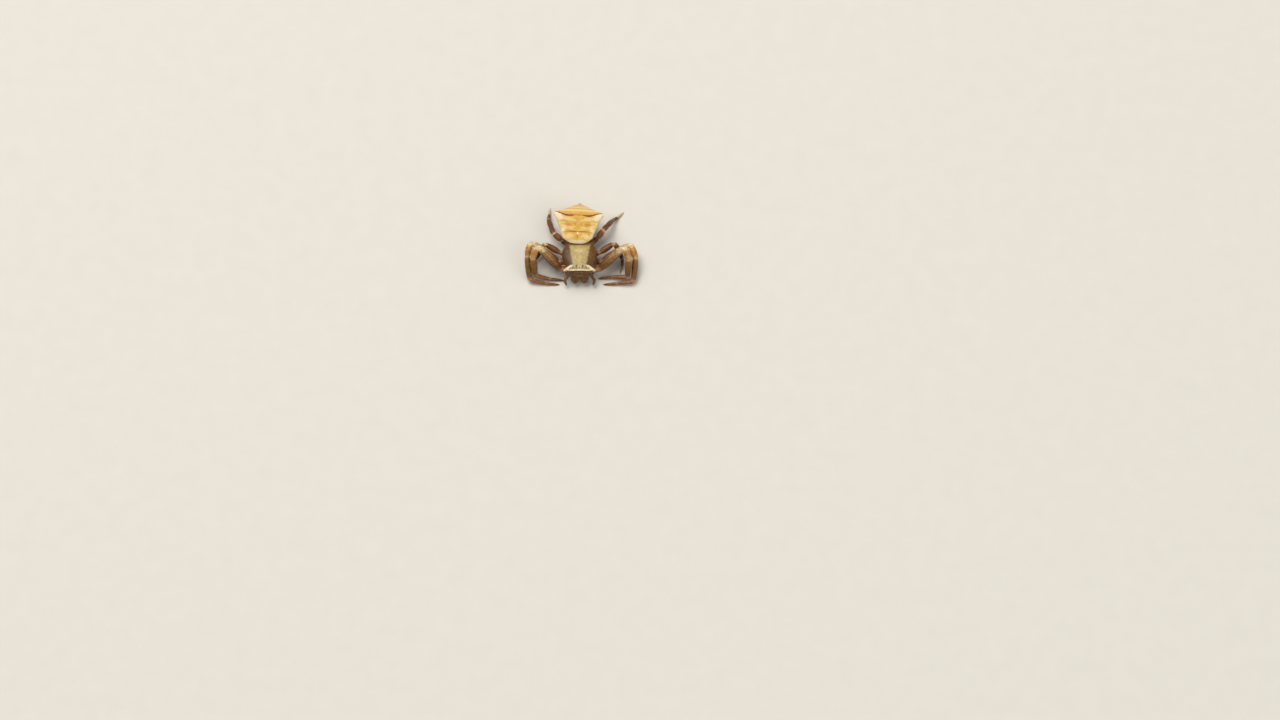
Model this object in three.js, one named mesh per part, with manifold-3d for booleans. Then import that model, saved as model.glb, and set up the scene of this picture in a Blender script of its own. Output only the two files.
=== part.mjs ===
import * as THREE from "three";
import { mergeVertices } from "three/addons/utils/BufferGeometryUtils.js";
import Module from "manifold-3d";

// A crab spider at life size, sitting with its two front pairs of legs folded in front of it.
// Millimetres, +Z up. It faces -Y, so its right side lies at -X. The floor is at z = 0.

const wasm = await Module();
wasm.setup();

const SIDE_SIGN = { right: -1, left: 1 };
const GAP = 0.03; // clear space where two pieces meet
const EYE_GAP = 0.012; // clear space round an eye in its socket
const LEG_SIDES = 10; // faces round a leg
const BODY_SIDES = 30; // faces round the carapace and abdomen
const MIDLINE = 0.045; // where the middle of the head and thorax lies along X

// The head and thorax: a shield over the leg bases, its front wall leaning forward below the eyes.
const CARAPACE = {
  rear: 0.3,
  front: -1.93,
  rim: 0.86,
  faceLean: 0.42,
  faceDrop: 0.06,
  halfWidth: [[-1.93, 0.94], [-1.78, 0.91], [-1.6, 0.86], [-1.42, 0.89], [-1.15, 1.03], [-0.85, 1.1],
    [-0.45, 1.04], [-0.1, 0.84], [0.15, 0.55], [0.3, 0.3]],
  top: [[-1.93, 1.42], [-1.7, 1.49], [-1.3, 1.53], [-0.8, 1.53], [-0.35, 1.44], [0, 1.24], [0.3, 1.04]],
};

// The blunt horns at the front corners of the eye region, from the middle of a root to that of a tip.
const HORN = { root: [0.6, -1.72, 1.29], tip: [1.01, -1.95, 1.42], rootRadius: 0.21, tipRadius: 0.055 };

// The eyes: a front row of four in the face and a rear row of four, the outer ones on the horns.
// Each is looked for from outside, along a line towards a point inside the head.
const EYES = [
  { name: "front_median", inside: [0.15, -1.7, 1.27], outward: [0, -1, 0.1], radius: 0.05 },
  { name: "front_lateral", inside: [0.68, -1.7, 1.32], outward: [0.25, -1, 0.1], radius: 0.062 },
  { name: "rear_median", inside: [0.2, -1.62, 1.3], outward: [0, -0.1, 1], radius: 0.045 },
  { name: "rear_lateral", inside: [0.66, -1.74, 1.3], outward: [1, 0.75, 0.45], radius: 0.055 },
];
const EYE_SINK = 0.3; // how far an eye's middle lies under the skin, as a share of its radius

// The breast plate between the leg bases, with the mouthparts at its front.
const STERNUM = { rear: -0.12, front: -1.42, halfWidth: 0.4, low: 0.42, middle: 0.6, high: CARAPACE.rim - GAP };
const MAXILLA = { across: 0.17, y: -1.58, z: 0.56, width: 0.15, length: 0.26, height: 0.14 };

// The jaws, hung under the face, and the short feelers beside them.
const CHELICERA = {
  across: 0.29,
  rings: [
    { z: 0.9, y: -1.93, halfWidth: 0.24, halfDepth: 0.2 },
    { z: 0.72, y: -2.06, halfWidth: 0.265, halfDepth: 0.22 },
    { z: 0.56, y: -2.17, halfWidth: 0.26, halfDepth: 0.21 },
    { z: 0.42, y: -2.24, halfWidth: 0.215, halfDepth: 0.17 },
    { z: 0.33, y: -2.27, halfWidth: 0.13, halfDepth: 0.1 },
  ],
};
const PALP = {
  joints: [[0.32, -1.62, 0.5], [0.74, -1.98, 0.62], [0.93, -2.24, 0.5], [0.84, -2.46, 0.28]],
  bend: 0.12,
  radius: [[0, 0.07], [0.25, 0.095], [0.5, 0.08], [0.75, 0.1], [0.92, 0.08], [1, 0.04]],
};

// The abdomen widens backwards to two corner tubercles and then falls away to a low point.
const ABDOMEN = {
  front: -0.12,
  rear: 2.7,
  pivot: [0.03, 0.35],
  yaw: THREE.MathUtils.degToRad(-3),
  shift: -0.09,
  halfWidth: [[-0.12, 0.5], [-0.02, 0.72], [0.2, 0.92], [0.6, 1.07], [1.1, 1.28], [1.5, 1.47], [1.66, 1.58],
    [1.78, 1.5], [1.95, 1.18], [2.2, 0.82], [2.45, 0.5], [2.62, 0.26], [2.7, 0.12]],
  bellyWidth: [[-0.12, 0.48], [0.2, 0.82], [0.8, 1.05], [1.5, 1.18], [1.9, 1.02], [2.3, 0.66], [2.7, 0.11]],
  top: [[-0.12, 1.55], [0, 1.66], [0.3, 1.75], [1, 1.9], [1.6, 2.05], [1.85, 1.98], [2.1, 1.72], [2.35, 1.4],
    [2.57, 1.12], [2.7, 1]],
  bottom: [[-0.12, 1.38], [0, 1.31], [0.1, 1.25], [0.28, 1.16], [0.42, 0.84], [0.7, 0.62], [1.2, 0.5],
    [1.9, 0.52], [2.3, 0.62], [2.55, 0.76], [2.7, 0.9]],
  shoulder: [[-0.12, 0.07], [0.1, 0.13], [0.6, 0.2], [1.66, 0.2], [2.1, 0.24], [2.7, 0.04]],
};
const SPINNERET = { y: 2.46, z: 0.72, count: 6, ring: 0.1, radius: 0.065, length: 0.28, moundRadius: 0.16, fall: 0.8 };
const PEDICEL = { from: 0.12, to: 0.72, z: 0.97, radius: 0.1 };

// The legs. Lengths and half thicknesses are alike on both sides. A segment's direction is given as
// [yaw, pitch] in degrees, yaw measured from straight out to the side towards the rear.
const SEGMENTS = ["femur", "patella", "tibia", "metatarsus", "tarsus"];
const TIP_HEIGHT = 0.3; // height of a leg's last point, as a share of its tarsus's half thickness
const LEGS = {
  leg1: {
    root: [0.28, -1.32, 0.62],
    length: { femur: 2.25, patella: 0.85, tibia: 1.35, metatarsus: 0.95, tarsus: 0.85 },
    girth: { coxa: 0.22, femur: 0.28, patella: 0.215, tibia: 0.21, metatarsus: 0.13, tarsus: 0.1 },
    right: { hip: [-1.12, -1.62, 0.74], pose: [[40, 29], [-74, -18], [-99, -55], [-173, -19], [-176]] },
    left: { hip: [1.22, -1.62, 0.74], pose: [[37, 22], [-74, -10], [-97, -55], [177, -8], [-176]] },
  },
  leg2: {
    root: [0.28, -0.95, 0.6],
    length: { femur: 2.2, patella: 0.95, tibia: 1.5, metatarsus: 1.05, tarsus: 0.8 },
    girth: { coxa: 0.22, femur: 0.255, patella: 0.205, tibia: 0.2, metatarsus: 0.125, tarsus: 0.095 },
    right: { hip: [-1.28, -1.05, 0.57], pose: [[33, 18], [-78, -12], [-96, -29], [-170, -12], [-177]] },
    left: { hip: [1.36, -1.05, 0.56], pose: [[30, 10], [-71, -5], [-96, -23], [-176, -8], [-178]] },
  },
  leg3: {
    root: [0.28, -0.55, 0.6],
    length: { femur: 1.1, patella: 0.6, tibia: 0.6, metatarsus: 0.45, tarsus: 0.4 },
    girth: { coxa: 0.19, femur: 0.2, patella: 0.165, tibia: 0.145, metatarsus: 0.1, tarsus: 0.07 },
    right: { hip: [-1.2, -0.42, 0.6], pose: [[29, 10], [-53, -39], [-56, -10], [-56, -18], [-66]] },
    left: { hip: [1.28, -0.42, 0.6], pose: [[32, 10], [-48, -38], [-71, -10], [-92, -18], [-109]] },
  },
  leg4: {
    root: [0.26, -0.18, 0.6],
    length: { femur: 0.73, patella: 0.45, tibia: 0.9, metatarsus: 0.52, tarsus: 0.49 },
    girth: { coxa: 0.19, femur: 0.2, patella: 0.17, tibia: 0.165, metatarsus: 0.115, tarsus: 0.07 },
    right: { hip: [-1.1, 0.42, 0.64], pose: [[30, 36], [72, -18], [75, -31], [96, -32], [96]] },
    left: { hip: [1.17, 0.58, 0.64], pose: [[42, 47], [57, -28], [61, -40], [44, -33], [45]] },
  },
};

// How a segment's half thickness runs along it, as shares of its girth: narrow at both joints.
const SWELL = {
  coxa: [[0, 0.8], [0.3, 1], [0.62, 0.98], [0.72, 0.82], [0.84, 0.92], [1, 0.72]],
  femur: [[0, 0.55], [0.06, 0.7], [0.42, 1], [0.75, 0.86], [0.93, 0.68], [1, 0.58]],
  patella: [[0, 0.7], [0.12, 0.9], [0.5, 1], [0.85, 0.9], [1, 0.72]],
  tibia: [[0, 0.7], [0.1, 0.9], [0.4, 1], [0.85, 0.82], [1, 0.62]],
  metatarsus: [[0, 0.8], [0.12, 1], [0.6, 0.92], [1, 0.72]],
  tarsus: [[0, 0.82], [0.12, 1], [0.6, 0.85], [0.9, 0.6], [1, 0.35]],
};
const RINGS = { coxa: 7, femur: 9, patella: 7, tibia: 8, foot: 14 };

const COLOURS = {
  carapace: 0x6b4a1c,
  sternum: 0x8a6a38,
  pedicel: 0x8a6a38,
  abdomen: 0xdcc382,
  spinnerets: 0xc79f74,
  chelicera: 0x6e4d1b,
  palp: 0x8d6a34,
  eye: 0x140c08,
  coxa: 0xb99b4e,
  femur: 0x7c5926,
  patella: 0xa5783f,
  tibia: 0x80592a,
  foot: 0x8a5f33,
};

// A smooth curve through stops of [place, value], with no overshoot between them.
function track(stops) {
  const steps = stops.slice(1).map(([at, value], i) => (value - stops[i][1]) / (at - stops[i][0]));
  const slopes = stops.map((stop, i) => {
    const before = steps[i - 1];
    const after = steps[i];
    if (before === undefined || after === undefined || before * after <= 0) {
      return 0;
    }
    return (2 * before * after) / (before + after);
  });
  return (place) => {
    const at = THREE.MathUtils.clamp(place, stops[0][0], stops.at(-1)[0]);
    const next = Math.max(1, stops.findIndex((stop) => stop[0] >= at));
    const span = stops[next][0] - stops[next - 1][0];
    const t = (at - stops[next - 1][0]) / span;
    const rise = t * t * (3 - 2 * t);
    return stops[next - 1][1] * (1 - rise) + stops[next][1] * rise
      + span * t * (1 - t) * (slopes[next - 1] * (1 - t) - slopes[next] * t);
  };
}

// One closed surface through rings of equal count, with a flat face over each end.
function loft(rings) {
  const sides = rings[0].length;
  const middle = (ring) => ring.reduce((sum, point) => sum.add(point), new THREE.Vector3()).divideScalar(sides);
  const points = [...rings.flat(), middle(rings[0]), middle(rings.at(-1))];
  const firstMiddle = points.length - 2;
  const lastMiddle = points.length - 1;
  const lastRing = (rings.length - 1) * sides;
  const index = [];
  for (let side = 0; side < sides; side += 1) {
    const next = (side + 1) % sides;
    for (let ring = 0; ring < rings.length - 1; ring += 1) {
      const a = ring * sides + side;
      const b = ring * sides + next;
      index.push(a, b, b + sides, a, b + sides, a + sides);
    }
    index.push(firstMiddle, next, side, lastMiddle, lastRing + side, lastRing + next);
  }
  const volume = enclosed(points, index);
  if (volume < 0) {
    index.reverse();
  }
  const geometry = new THREE.BufferGeometry().setFromPoints(points);
  geometry.setIndex(index);
  return geometry;
}

// The signed volume inside a closed list of triangles.
function enclosed(points, index) {
  let sum = 0;
  for (let i = 0; i < index.length; i += 3) {
    const [a, b, c] = [points[index[i]], points[index[i + 1]], points[index[i + 2]]];
    sum += a.dot(b.clone().cross(c)) / 6;
  }
  return sum;
}

function toSolid(geometry) {
  const bare = geometry.clone();
  bare.deleteAttribute("normal");
  bare.deleteAttribute("uv");
  const merged = mergeVertices(bare, 1e-5);
  return new wasm.Manifold(new wasm.Mesh({
    numProp: 3,
    vertProperties: new Float32Array(merged.attributes.position.array),
    triVerts: new Uint32Array(merged.index.array),
  }));
}

function fromSolid(solid) {
  const largest = solid.decompose().reduce((best, piece) => (piece.volume() > best.volume() ? piece : best));
  const mesh = largest.getMesh();
  const geometry = new THREE.BufferGeometry();
  geometry.setAttribute("position", new THREE.BufferAttribute(new Float32Array(mesh.vertProperties), 3));
  geometry.setIndex(new THREE.BufferAttribute(new Uint32Array(mesh.triVerts), 1));
  return geometry;
}

function joined(first, ...others) {
  return fromSolid(others.reduce((solid, other) => solid.add(toSolid(other)), toSolid(first)));
}

function cutClear(geometry, ...cutters) {
  return fromSolid(cutters.reduce((solid, cutter) => solid.subtract(toSolid(cutter)), toSolid(geometry)));
}

// A ring across the body: a rounded box whose upper and lower halves have their own fullness.
function bodyRing({ y, halfWidth, bellyWidth, top, bottom, widest, upperPower, lowerPower, lean, leanFrom }) {
  const ring = [];
  for (let side = 0; side < BODY_SIDES; side += 1) {
    const angle = (2 * Math.PI * (side + 0.5)) / BODY_SIDES;
    const across = Math.cos(angle);
    const up = Math.sin(angle);
    const power = 2 / (up >= 0 ? upperPower : lowerPower);
    const reach = Math.sign(across) * Math.abs(across) ** power;
    const edge = Math.abs(across) ** 6;
    const width = up >= 0 ? halfWidth : bellyWidth + (halfWidth - bellyWidth) * edge;
    const height = Math.abs(up) ** power;
    const z = up >= 0 ? widest + (top - widest) * height : widest - (widest - bottom) * height;
    ring.push(new THREE.Vector3(width * reach, y + lean * (leanFrom - z), z));
  }
  return ring;
}

function spread(from, to, count) {
  return Array.from({ length: count }, (unused, i) => from + ((to - from) * i) / (count - 1));
}

// The carapace, or the same shape grown by a margin for cutting its neighbours clear.
function carapaceShape(margin) {
  const halfWidth = track(CARAPACE.halfWidth);
  const top = track(CARAPACE.top);
  const ys = spread(CARAPACE.front, CARAPACE.rear, 17);
  const rings = ys.map((y, i) => {
    const share = (CARAPACE.rear - y) / (CARAPACE.rear - CARAPACE.front);
    const lean = -CARAPACE.faceLean * share ** 3;
    const endShift = i === 0 ? -margin : i === ys.length - 1 ? margin : 0;
    const bottom = CARAPACE.rim - CARAPACE.faceDrop * share ** 4 - margin;
    return bodyRing({
      y: y + endShift,
      halfWidth: halfWidth(y) + margin,
      bellyWidth: halfWidth(y) + margin,
      top: top(y) + margin,
      bottom,
      widest: bottom + 0.45 * (top(y) - bottom),
      upperPower: 2.3,
      lowerPower: 4,
      lean,
      leanFrom: top(y),
    });
  });
  return loft(rings).translate(MIDLINE, 0, 0);
}

function mirroredPoint([across, y, z], sign) {
  return new THREE.Vector3(MIDLINE + sign * across, y, z);
}

function horn(sign) {
  const root = mirroredPoint(HORN.root, sign);
  const tip = mirroredPoint(HORN.tip, sign);
  const direction = tip.clone().sub(root).normalize();
  const shape = new THREE.CylinderGeometry(HORN.tipRadius, HORN.rootRadius, root.distanceTo(tip), 12);
  shape.applyQuaternion(new THREE.Quaternion().setFromUnitVectors(new THREE.Vector3(0, 1, 0), direction));
  const middle = root.clone().lerp(tip, 0.5);
  return shape.translate(middle.x, middle.y, middle.z);
}

// Where an eye sits on the head, its middle a little under the surface.
function eyeCentre(skin, eye, sign) {
  const [across, back, up] = eye.outward;
  const outward = new THREE.Vector3(sign * across, back, up).normalize();
  const far = mirroredPoint(eye.inside, sign).addScaledVector(outward, 2);
  const probe = new THREE.Mesh(skin, new THREE.MeshBasicMaterial({ side: THREE.DoubleSide }));
  const [hit] = new THREE.Raycaster(far, outward.clone().negate()).intersectObject(probe);
  return hit.point.addScaledVector(outward, -EYE_SINK * eye.radius);
}

// The breast plate, or the same shape grown by a margin.
function sternumShape(margin) {
  const middleY = (STERNUM.rear + STERNUM.front) / 2;
  const halfLength = (STERNUM.rear - STERNUM.front) / 2 + margin;
  const levels = [
    { z: STERNUM.low - margin, share: 0.45 },
    { z: STERNUM.low + 0.05 - margin, share: 0.8 },
    { z: STERNUM.middle, share: 1 },
    { z: STERNUM.high + margin, share: 0.96 },
  ];
  return loft(levels.map(({ z, share }) => Array.from({ length: 20 }, (unused, i) => {
    const angle = (2 * Math.PI * i) / 20;
    const narrow = 1 - 0.18 * Math.sin(angle);
    const x = (STERNUM.halfWidth + margin) * share * narrow * Math.cos(angle);
    return new THREE.Vector3(MIDLINE + x, middleY + halfLength * share * Math.sin(angle), z);
  })));
}

function maxilla(sign, margin) {
  return new THREE.SphereGeometry(1, 12, 8)
    .scale(MAXILLA.width + margin, MAXILLA.length + margin, MAXILLA.height + margin)
    .translate(MIDLINE + sign * MAXILLA.across, MAXILLA.y, MAXILLA.z);
}

function cheliceraShape(sign) {
  return loft(CHELICERA.rings.map(({ z, y, halfWidth, halfDepth }) => Array.from({ length: 14 }, (unused, i) => {
    const angle = (2 * Math.PI * i) / 14;
    const x = MIDLINE + sign * (CHELICERA.across + halfWidth * Math.cos(angle));
    return new THREE.Vector3(x, y + halfDepth * Math.sin(angle), z);
  })));
}

// A middle line through joints, each turned on an arc. Marks are the places halfway round each bend.
function jointedLine(joints, bends) {
  const path = new THREE.CurvePath();
  const marks = [];
  let from = joints[0];
  let travelled = 0;
  for (let i = 1; i < joints.length - 1; i += 1) {
    const back = joints[i - 1].clone().sub(joints[i]).normalize();
    const ahead = joints[i + 1].clone().sub(joints[i]).normalize();
    const halfTurn = (Math.PI - back.angleTo(ahead)) / 2;
    const reach = bends[i] * Math.tan(halfTurn);
    const handle = (4 / 3) * Math.tan(halfTurn / 2) * bends[i];
    const start = joints[i].clone().addScaledVector(back, reach);
    const end = joints[i].clone().addScaledVector(ahead, reach);
    const bend = new THREE.CubicBezierCurve3(
      start,
      start.clone().addScaledVector(back, -handle),
      end.clone().addScaledVector(ahead, -handle),
      end,
    );
    path.add(new THREE.LineCurve3(from, start));
    path.add(bend);
    travelled += from.distanceTo(start) + bend.getLength() / 2;
    marks.push(travelled);
    travelled += bend.getLength() / 2;
    from = end;
  }
  path.add(new THREE.LineCurve3(from, joints.at(-1)));
  return { path, marks: [0, ...marks, travelled + from.distanceTo(joints.at(-1))] };
}

// A round tube along part of a line, drawn back a little at either end along the line's direction
// there, so that two tubes that meet have parallel faces. Nothing of it reaches below the floor.
function tube({ path, marks }, from, to, rings, radiusAt, backFrom, backTo) {
  const whole = marks.at(-1);
  let normal = new THREE.Vector3(0, 0, 1);
  return loft(spread(from, to, rings).map((place, i) => {
    const tangent = path.getTangent(THREE.MathUtils.clamp(place / whole, 0.001, 0.999));
    const back = i === 0 ? backFrom : i === rings - 1 ? -backTo : 0;
    const centre = path.getPoint(place / whole).addScaledVector(tangent, back);
    normal = normal.clone().addScaledVector(tangent, -normal.dot(tangent)).normalize();
    const across = tangent.clone().cross(normal);
    return Array.from({ length: LEG_SIDES }, (unused, side) => {
      const angle = (2 * Math.PI * side) / LEG_SIDES;
      const point = centre.clone()
        .addScaledVector(normal, radiusAt(place) * Math.cos(angle))
        .addScaledVector(across, radiusAt(place) * Math.sin(angle));
      point.z = Math.max(0, point.z);
      return point;
    });
  }));
}

function palpShape(sign) {
  const joints = PALP.joints.map(([x, y, z]) => new THREE.Vector3(MIDLINE + sign * x, y, z));
  const line = jointedLine(joints, joints.map(() => PALP.bend));
  const radius = track(PALP.radius);
  return tube(line, 0, line.marks.at(-1), 13, (place) => radius(place / line.marks.at(-1)), 0, 0);
}

// The joints of a leg, from its root under the body to its tip on the floor.
function legJoints(leg, side) {
  const sign = SIDE_SIGN[side];
  const { hip, pose } = leg[side];
  const tipHeight = TIP_HEIGHT * leg.girth.tarsus;
  const joints = [
    new THREE.Vector3(MIDLINE + sign * leg.root[0], leg.root[1], leg.root[2]),
    new THREE.Vector3(...hip),
  ];
  SEGMENTS.forEach((segment, i) => {
    const length = leg.length[segment];
    const from = joints.at(-1);
    const yaw = THREE.MathUtils.degToRad(pose[i][0]);
    const toFloor = Math.asin((tipHeight - from.z) / length);
    const pitch = segment === "tarsus" ? toFloor : THREE.MathUtils.degToRad(pose[i][1]);
    const level = length * Math.cos(pitch);
    joints.push(from.clone().add(new THREE.Vector3(
      sign * level * Math.cos(yaw),
      level * Math.sin(yaw),
      length * Math.sin(pitch),
    )));
  });
  return joints;
}

// One leg as five pieces, parted halfway round each of its bends.
function legPieces(leg, side) {
  const { girth } = leg;
  const joints = legJoints(leg, side);
  const bends = [0, girth.coxa, girth.femur * 0.95, girth.patella, girth.tibia, girth.metatarsus, 0];
  const line = jointedLine(joints, bends);
  const { marks } = line;
  const swell = Object.fromEntries(Object.entries(SWELL).map(([name, stops]) => [name, track(stops)]));
  const along = (name, from, to) => (place) => girth[name] * swell[name]((place - from) / (to - from));
  const pieces = {};
  ["coxa", "femur", "patella", "tibia"].forEach((name, i) => {
    const [from, to] = [marks[i], marks[i + 1]];
    const backFrom = i === 0 ? 0 : GAP / 2;
    pieces[name] = tube(line, from, to, RINGS[name], along(name, from, to), backFrom, GAP / 2);
  });
  const [ankle, mid, tip] = marks.slice(4);
  const upper = along("metatarsus", ankle, mid);
  const lower = along("tarsus", mid, tip);
  const radius = (place) => (place < mid ? upper(place) : lower(place));
  pieces.foot = tube(line, ankle, tip, RINGS.foot, radius, GAP / 2, 0);
  return pieces;
}

// The abdomen, or the same shape grown by a margin, turned a little on the narrow waist.
function abdomenShape(margin) {
  const at = Object.fromEntries(
    ["halfWidth", "bellyWidth", "top", "bottom", "shoulder"].map((name) => [name, track(ABDOMEN[name])]),
  );
  const ys = spread(ABDOMEN.front, ABDOMEN.rear, 25);
  const rings = ys.map((y, i) => {
    const endShift = i === 0 ? -margin : i === ys.length - 1 ? margin : 0;
    return bodyRing({
      y: y + endShift,
      halfWidth: at.halfWidth(y) + margin,
      bellyWidth: at.bellyWidth(y) + margin,
      top: at.top(y) + margin,
      bottom: at.bottom(y) - margin,
      widest: at.top(y) - at.shoulder(y),
      upperPower: 3,
      lowerPower: 1.9,
      lean: 0,
      leanFrom: 0,
    });
  });
  return turned(loft(rings));
}

function turned(geometry) {
  const [x, y] = ABDOMEN.pivot;
  return geometry.translate(ABDOMEN.shift - x, -y, 0).rotateZ(ABDOMEN.yaw).translate(x, y, 0);
}

function spinneretShape() {
  const cones = Array.from({ length: SPINNERET.count }, (unused, i) => {
    const angle = (2 * Math.PI * i) / SPINNERET.count;
    return new THREE.ConeGeometry(SPINNERET.radius, SPINNERET.length, 8)
      .rotateX(Math.PI / 2)
      .translate(SPINNERET.ring * Math.cos(angle), SPINNERET.length / 2, SPINNERET.ring * Math.sin(angle));
  });
  const mound = new THREE.SphereGeometry(SPINNERET.moundRadius, 12, 8);
  const cluster = joined(mound, ...cones).rotateX(-SPINNERET.fall).translate(0, SPINNERET.y, SPINNERET.z);
  return turned(cluster);
}

function pedicelShape() {
  const rings = spread(PEDICEL.from, PEDICEL.to, 6).map((y) => Array.from({ length: 12 }, (unused, i) => {
    const angle = (2 * Math.PI * i) / 12;
    const radius = PEDICEL.radius;
    return new THREE.Vector3(MIDLINE + radius * Math.cos(angle), y, PEDICEL.z + radius * Math.sin(angle));
  }));
  return loft(rings);
}

const spider = new THREE.Group();

// A finished piece hangs from its own middle, so that its mesh stands at its place in the spider.
function addPiece(parent, name, finish, geometry) {
  geometry.computeBoundingBox();
  const middle = geometry.boundingBox.getCenter(new THREE.Vector3());
  geometry.translate(-middle.x, -middle.y, -middle.z);
  geometry.deleteAttribute("normal");
  geometry.deleteAttribute("uv");
  geometry.computeVertexNormals();
  const material = new THREE.MeshStandardMaterial({ color: COLOURS[finish], roughness: 0.6, metalness: 0 });
  if (finish === "eye") {
    material.roughness = 0.1;
  }
  const mesh = new THREE.Mesh(geometry, material);
  mesh.name = name;
  mesh.position.copy(middle);
  parent.add(mesh);
}

const head = joined(carapaceShape(0), horn(SIDE_SIGN.right), horn(SIDE_SIGN.left));
const headCutter = carapaceShape(GAP);
const breast = (margin) => joined(
  sternumShape(margin),
  maxilla(SIDE_SIGN.right, margin),
  maxilla(SIDE_SIGN.left, margin),
);
const sternumCutter = breast(GAP);
const abdomenCutter = abdomenShape(GAP);

const eyes = Object.keys(SIDE_SIGN).flatMap((side) => EYES.map((eye) => ({
  name: `eye_${eye.name}_${side}`,
  radius: eye.radius,
  centre: eyeCentre(head, eye, SIDE_SIGN[side]),
})));
const ball = ({ centre }, radius) => new THREE.SphereGeometry(radius, 12, 8).translate(centre.x, centre.y, centre.z);
const sockets = eyes.map((eye) => ball(eye, eye.radius + EYE_GAP));

const body = new THREE.Group();
spider.add(body);
addPiece(body, "carapace", "carapace", cutClear(head, ...sockets));
addPiece(body, "sternum", "sternum", cutClear(breast(0), headCutter));
eyes.forEach((eye) => addPiece(body, eye.name, "eye", ball(eye, eye.radius)));
addPiece(body, "pedicel", "pedicel", cutClear(pedicelShape(), headCutter, abdomenCutter));
addPiece(body, "abdomen", "abdomen", abdomenShape(0));
addPiece(body, "spinnerets", "spinnerets", cutClear(spinneretShape(), abdomenCutter));

Object.entries(SIDE_SIGN).forEach(([side, sign]) => {
  const jaw = cutClear(cheliceraShape(sign), headCutter, sternumCutter);
  addPiece(body, `chelicera_${side}`, "chelicera", jaw);
  addPiece(body, `palp_${side}`, "palp", cutClear(palpShape(sign), sternumCutter));
  Object.entries(LEGS).forEach(([name, leg]) => {
    const limb = new THREE.Group();
    spider.add(limb);
    Object.entries(legPieces(leg, side)).forEach(([piece, geometry]) => {
      const cut = piece === "coxa" ? cutClear(geometry, headCutter, sternumCutter) : geometry;
      addPiece(limb, `${name}_${side}_${piece}`, piece, cut);
    });
  });
});

// The origin is on the floor under the middle of the animal's outline.
const outline = new THREE.Box3().setFromObject(spider, true);
spider.position.set(-(outline.min.x + outline.max.x) / 2, -(outline.min.y + outline.max.y) / 2, 0);

export default spider;
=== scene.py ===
import math

import bmesh
import bpy
import numpy as np
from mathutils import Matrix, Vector


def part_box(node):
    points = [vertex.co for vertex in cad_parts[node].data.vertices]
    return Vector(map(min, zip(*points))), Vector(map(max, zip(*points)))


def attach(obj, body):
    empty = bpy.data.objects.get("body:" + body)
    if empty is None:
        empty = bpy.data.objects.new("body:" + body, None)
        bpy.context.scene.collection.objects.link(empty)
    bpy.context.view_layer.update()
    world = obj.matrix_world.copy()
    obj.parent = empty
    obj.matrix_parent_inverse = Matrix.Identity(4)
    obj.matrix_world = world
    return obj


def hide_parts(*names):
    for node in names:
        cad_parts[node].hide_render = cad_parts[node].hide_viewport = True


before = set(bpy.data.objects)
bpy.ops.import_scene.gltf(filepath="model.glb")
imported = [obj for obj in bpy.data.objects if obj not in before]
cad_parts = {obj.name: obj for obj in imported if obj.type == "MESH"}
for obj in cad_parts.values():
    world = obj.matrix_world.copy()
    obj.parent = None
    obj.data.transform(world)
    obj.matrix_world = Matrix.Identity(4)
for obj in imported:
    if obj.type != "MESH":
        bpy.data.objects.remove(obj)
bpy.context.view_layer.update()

# A crab spider at life size. Every piece is made on a bench in millimetres, in the animal's own
# frame: it faces -Y, +Z is up and the floor is at z = 0. A finished piece is then put in its place
# in the model in metres.

MM = 0.001
SIDE_SIGN = {"right": -1, "left": 1}
MIDLINE = 0.045  # where the head's middle lies across

# The parts of the body. A curve is a list of stops, each a place along the body and a value there.
CARAPACE = {
    "rear": 0.3, "front": -1.93, "rim": 0.86, "face_lean": 0.42, "face_drop": 0.06,
    "half_width": [(-1.93, 0.94), (-1.78, 0.91), (-1.6, 0.86), (-1.42, 0.89), (-1.15, 1.03),
                   (-0.85, 1.1), (-0.45, 1.04), (-0.1, 0.84), (0.15, 0.55), (0.3, 0.3)],
    "top": [(-1.93, 1.42), (-1.7, 1.49), (-1.3, 1.53), (-0.8, 1.53), (-0.35, 1.44), (0, 1.24),
            (0.3, 1.04)],
    "widest": 0.45, "powers": (2.3, 4),
}
HORN = {"root": (0.6, -1.72, 1.29), "tip": (1.01, -1.95, 1.42), "root_radius": 0.21, "tip_radius": 0.055}
# The breast plate's levels: height and share of its width.
STERNUM = {"rear": -0.12, "front": -1.42, "half_width": 0.4,
           "levels": [(0.42, 0.45), (0.47, 0.8), (0.6, 1), (0.9, 0.96)]}
MAXILLA = {"across": 0.17, "y": -1.58, "z": 0.56, "width": 0.15, "length": 0.26, "height": 0.14}
# A jaw's rings, from its top: height, place along, half width and half depth.
CHELICERA = {
    "across": 0.29,
    "rings": [(0.93, -1.9, 0.22, 0.18), (0.83, -1.98, 0.25, 0.21), (0.72, -2.06, 0.265, 0.222),
              (0.56, -2.17, 0.26, 0.21), (0.42, -2.24, 0.215, 0.17), (0.35, -2.265, 0.155, 0.12),
              (0.33, -2.27, 0.09, 0.07)],
    "lie": (0, -0.3, -0.95),
}
FANG = {"outward": 0.07, "across": 0.2, "y": -2.27, "back": 0.1, "z": 0.34, "drop": 0.07,
        "radius": 0.038, "tip_radius": 0.004}
PALP = {
    "joints": [(0.32, -1.62, 0.5), (0.74, -1.98, 0.62), (0.93, -2.24, 0.5), (0.84, -2.46, 0.28)],
    "bend": 0.12, "step": 0.02, "sides": 22, "fold": 0.14, "fold_width": 0.02, "last_joint": 0.88,
    "radius": [(0, 0.07), (0.25, 0.095), (0.5, 0.08), (0.75, 0.1), (0.92, 0.08), (1, 0.04)],
}
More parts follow.
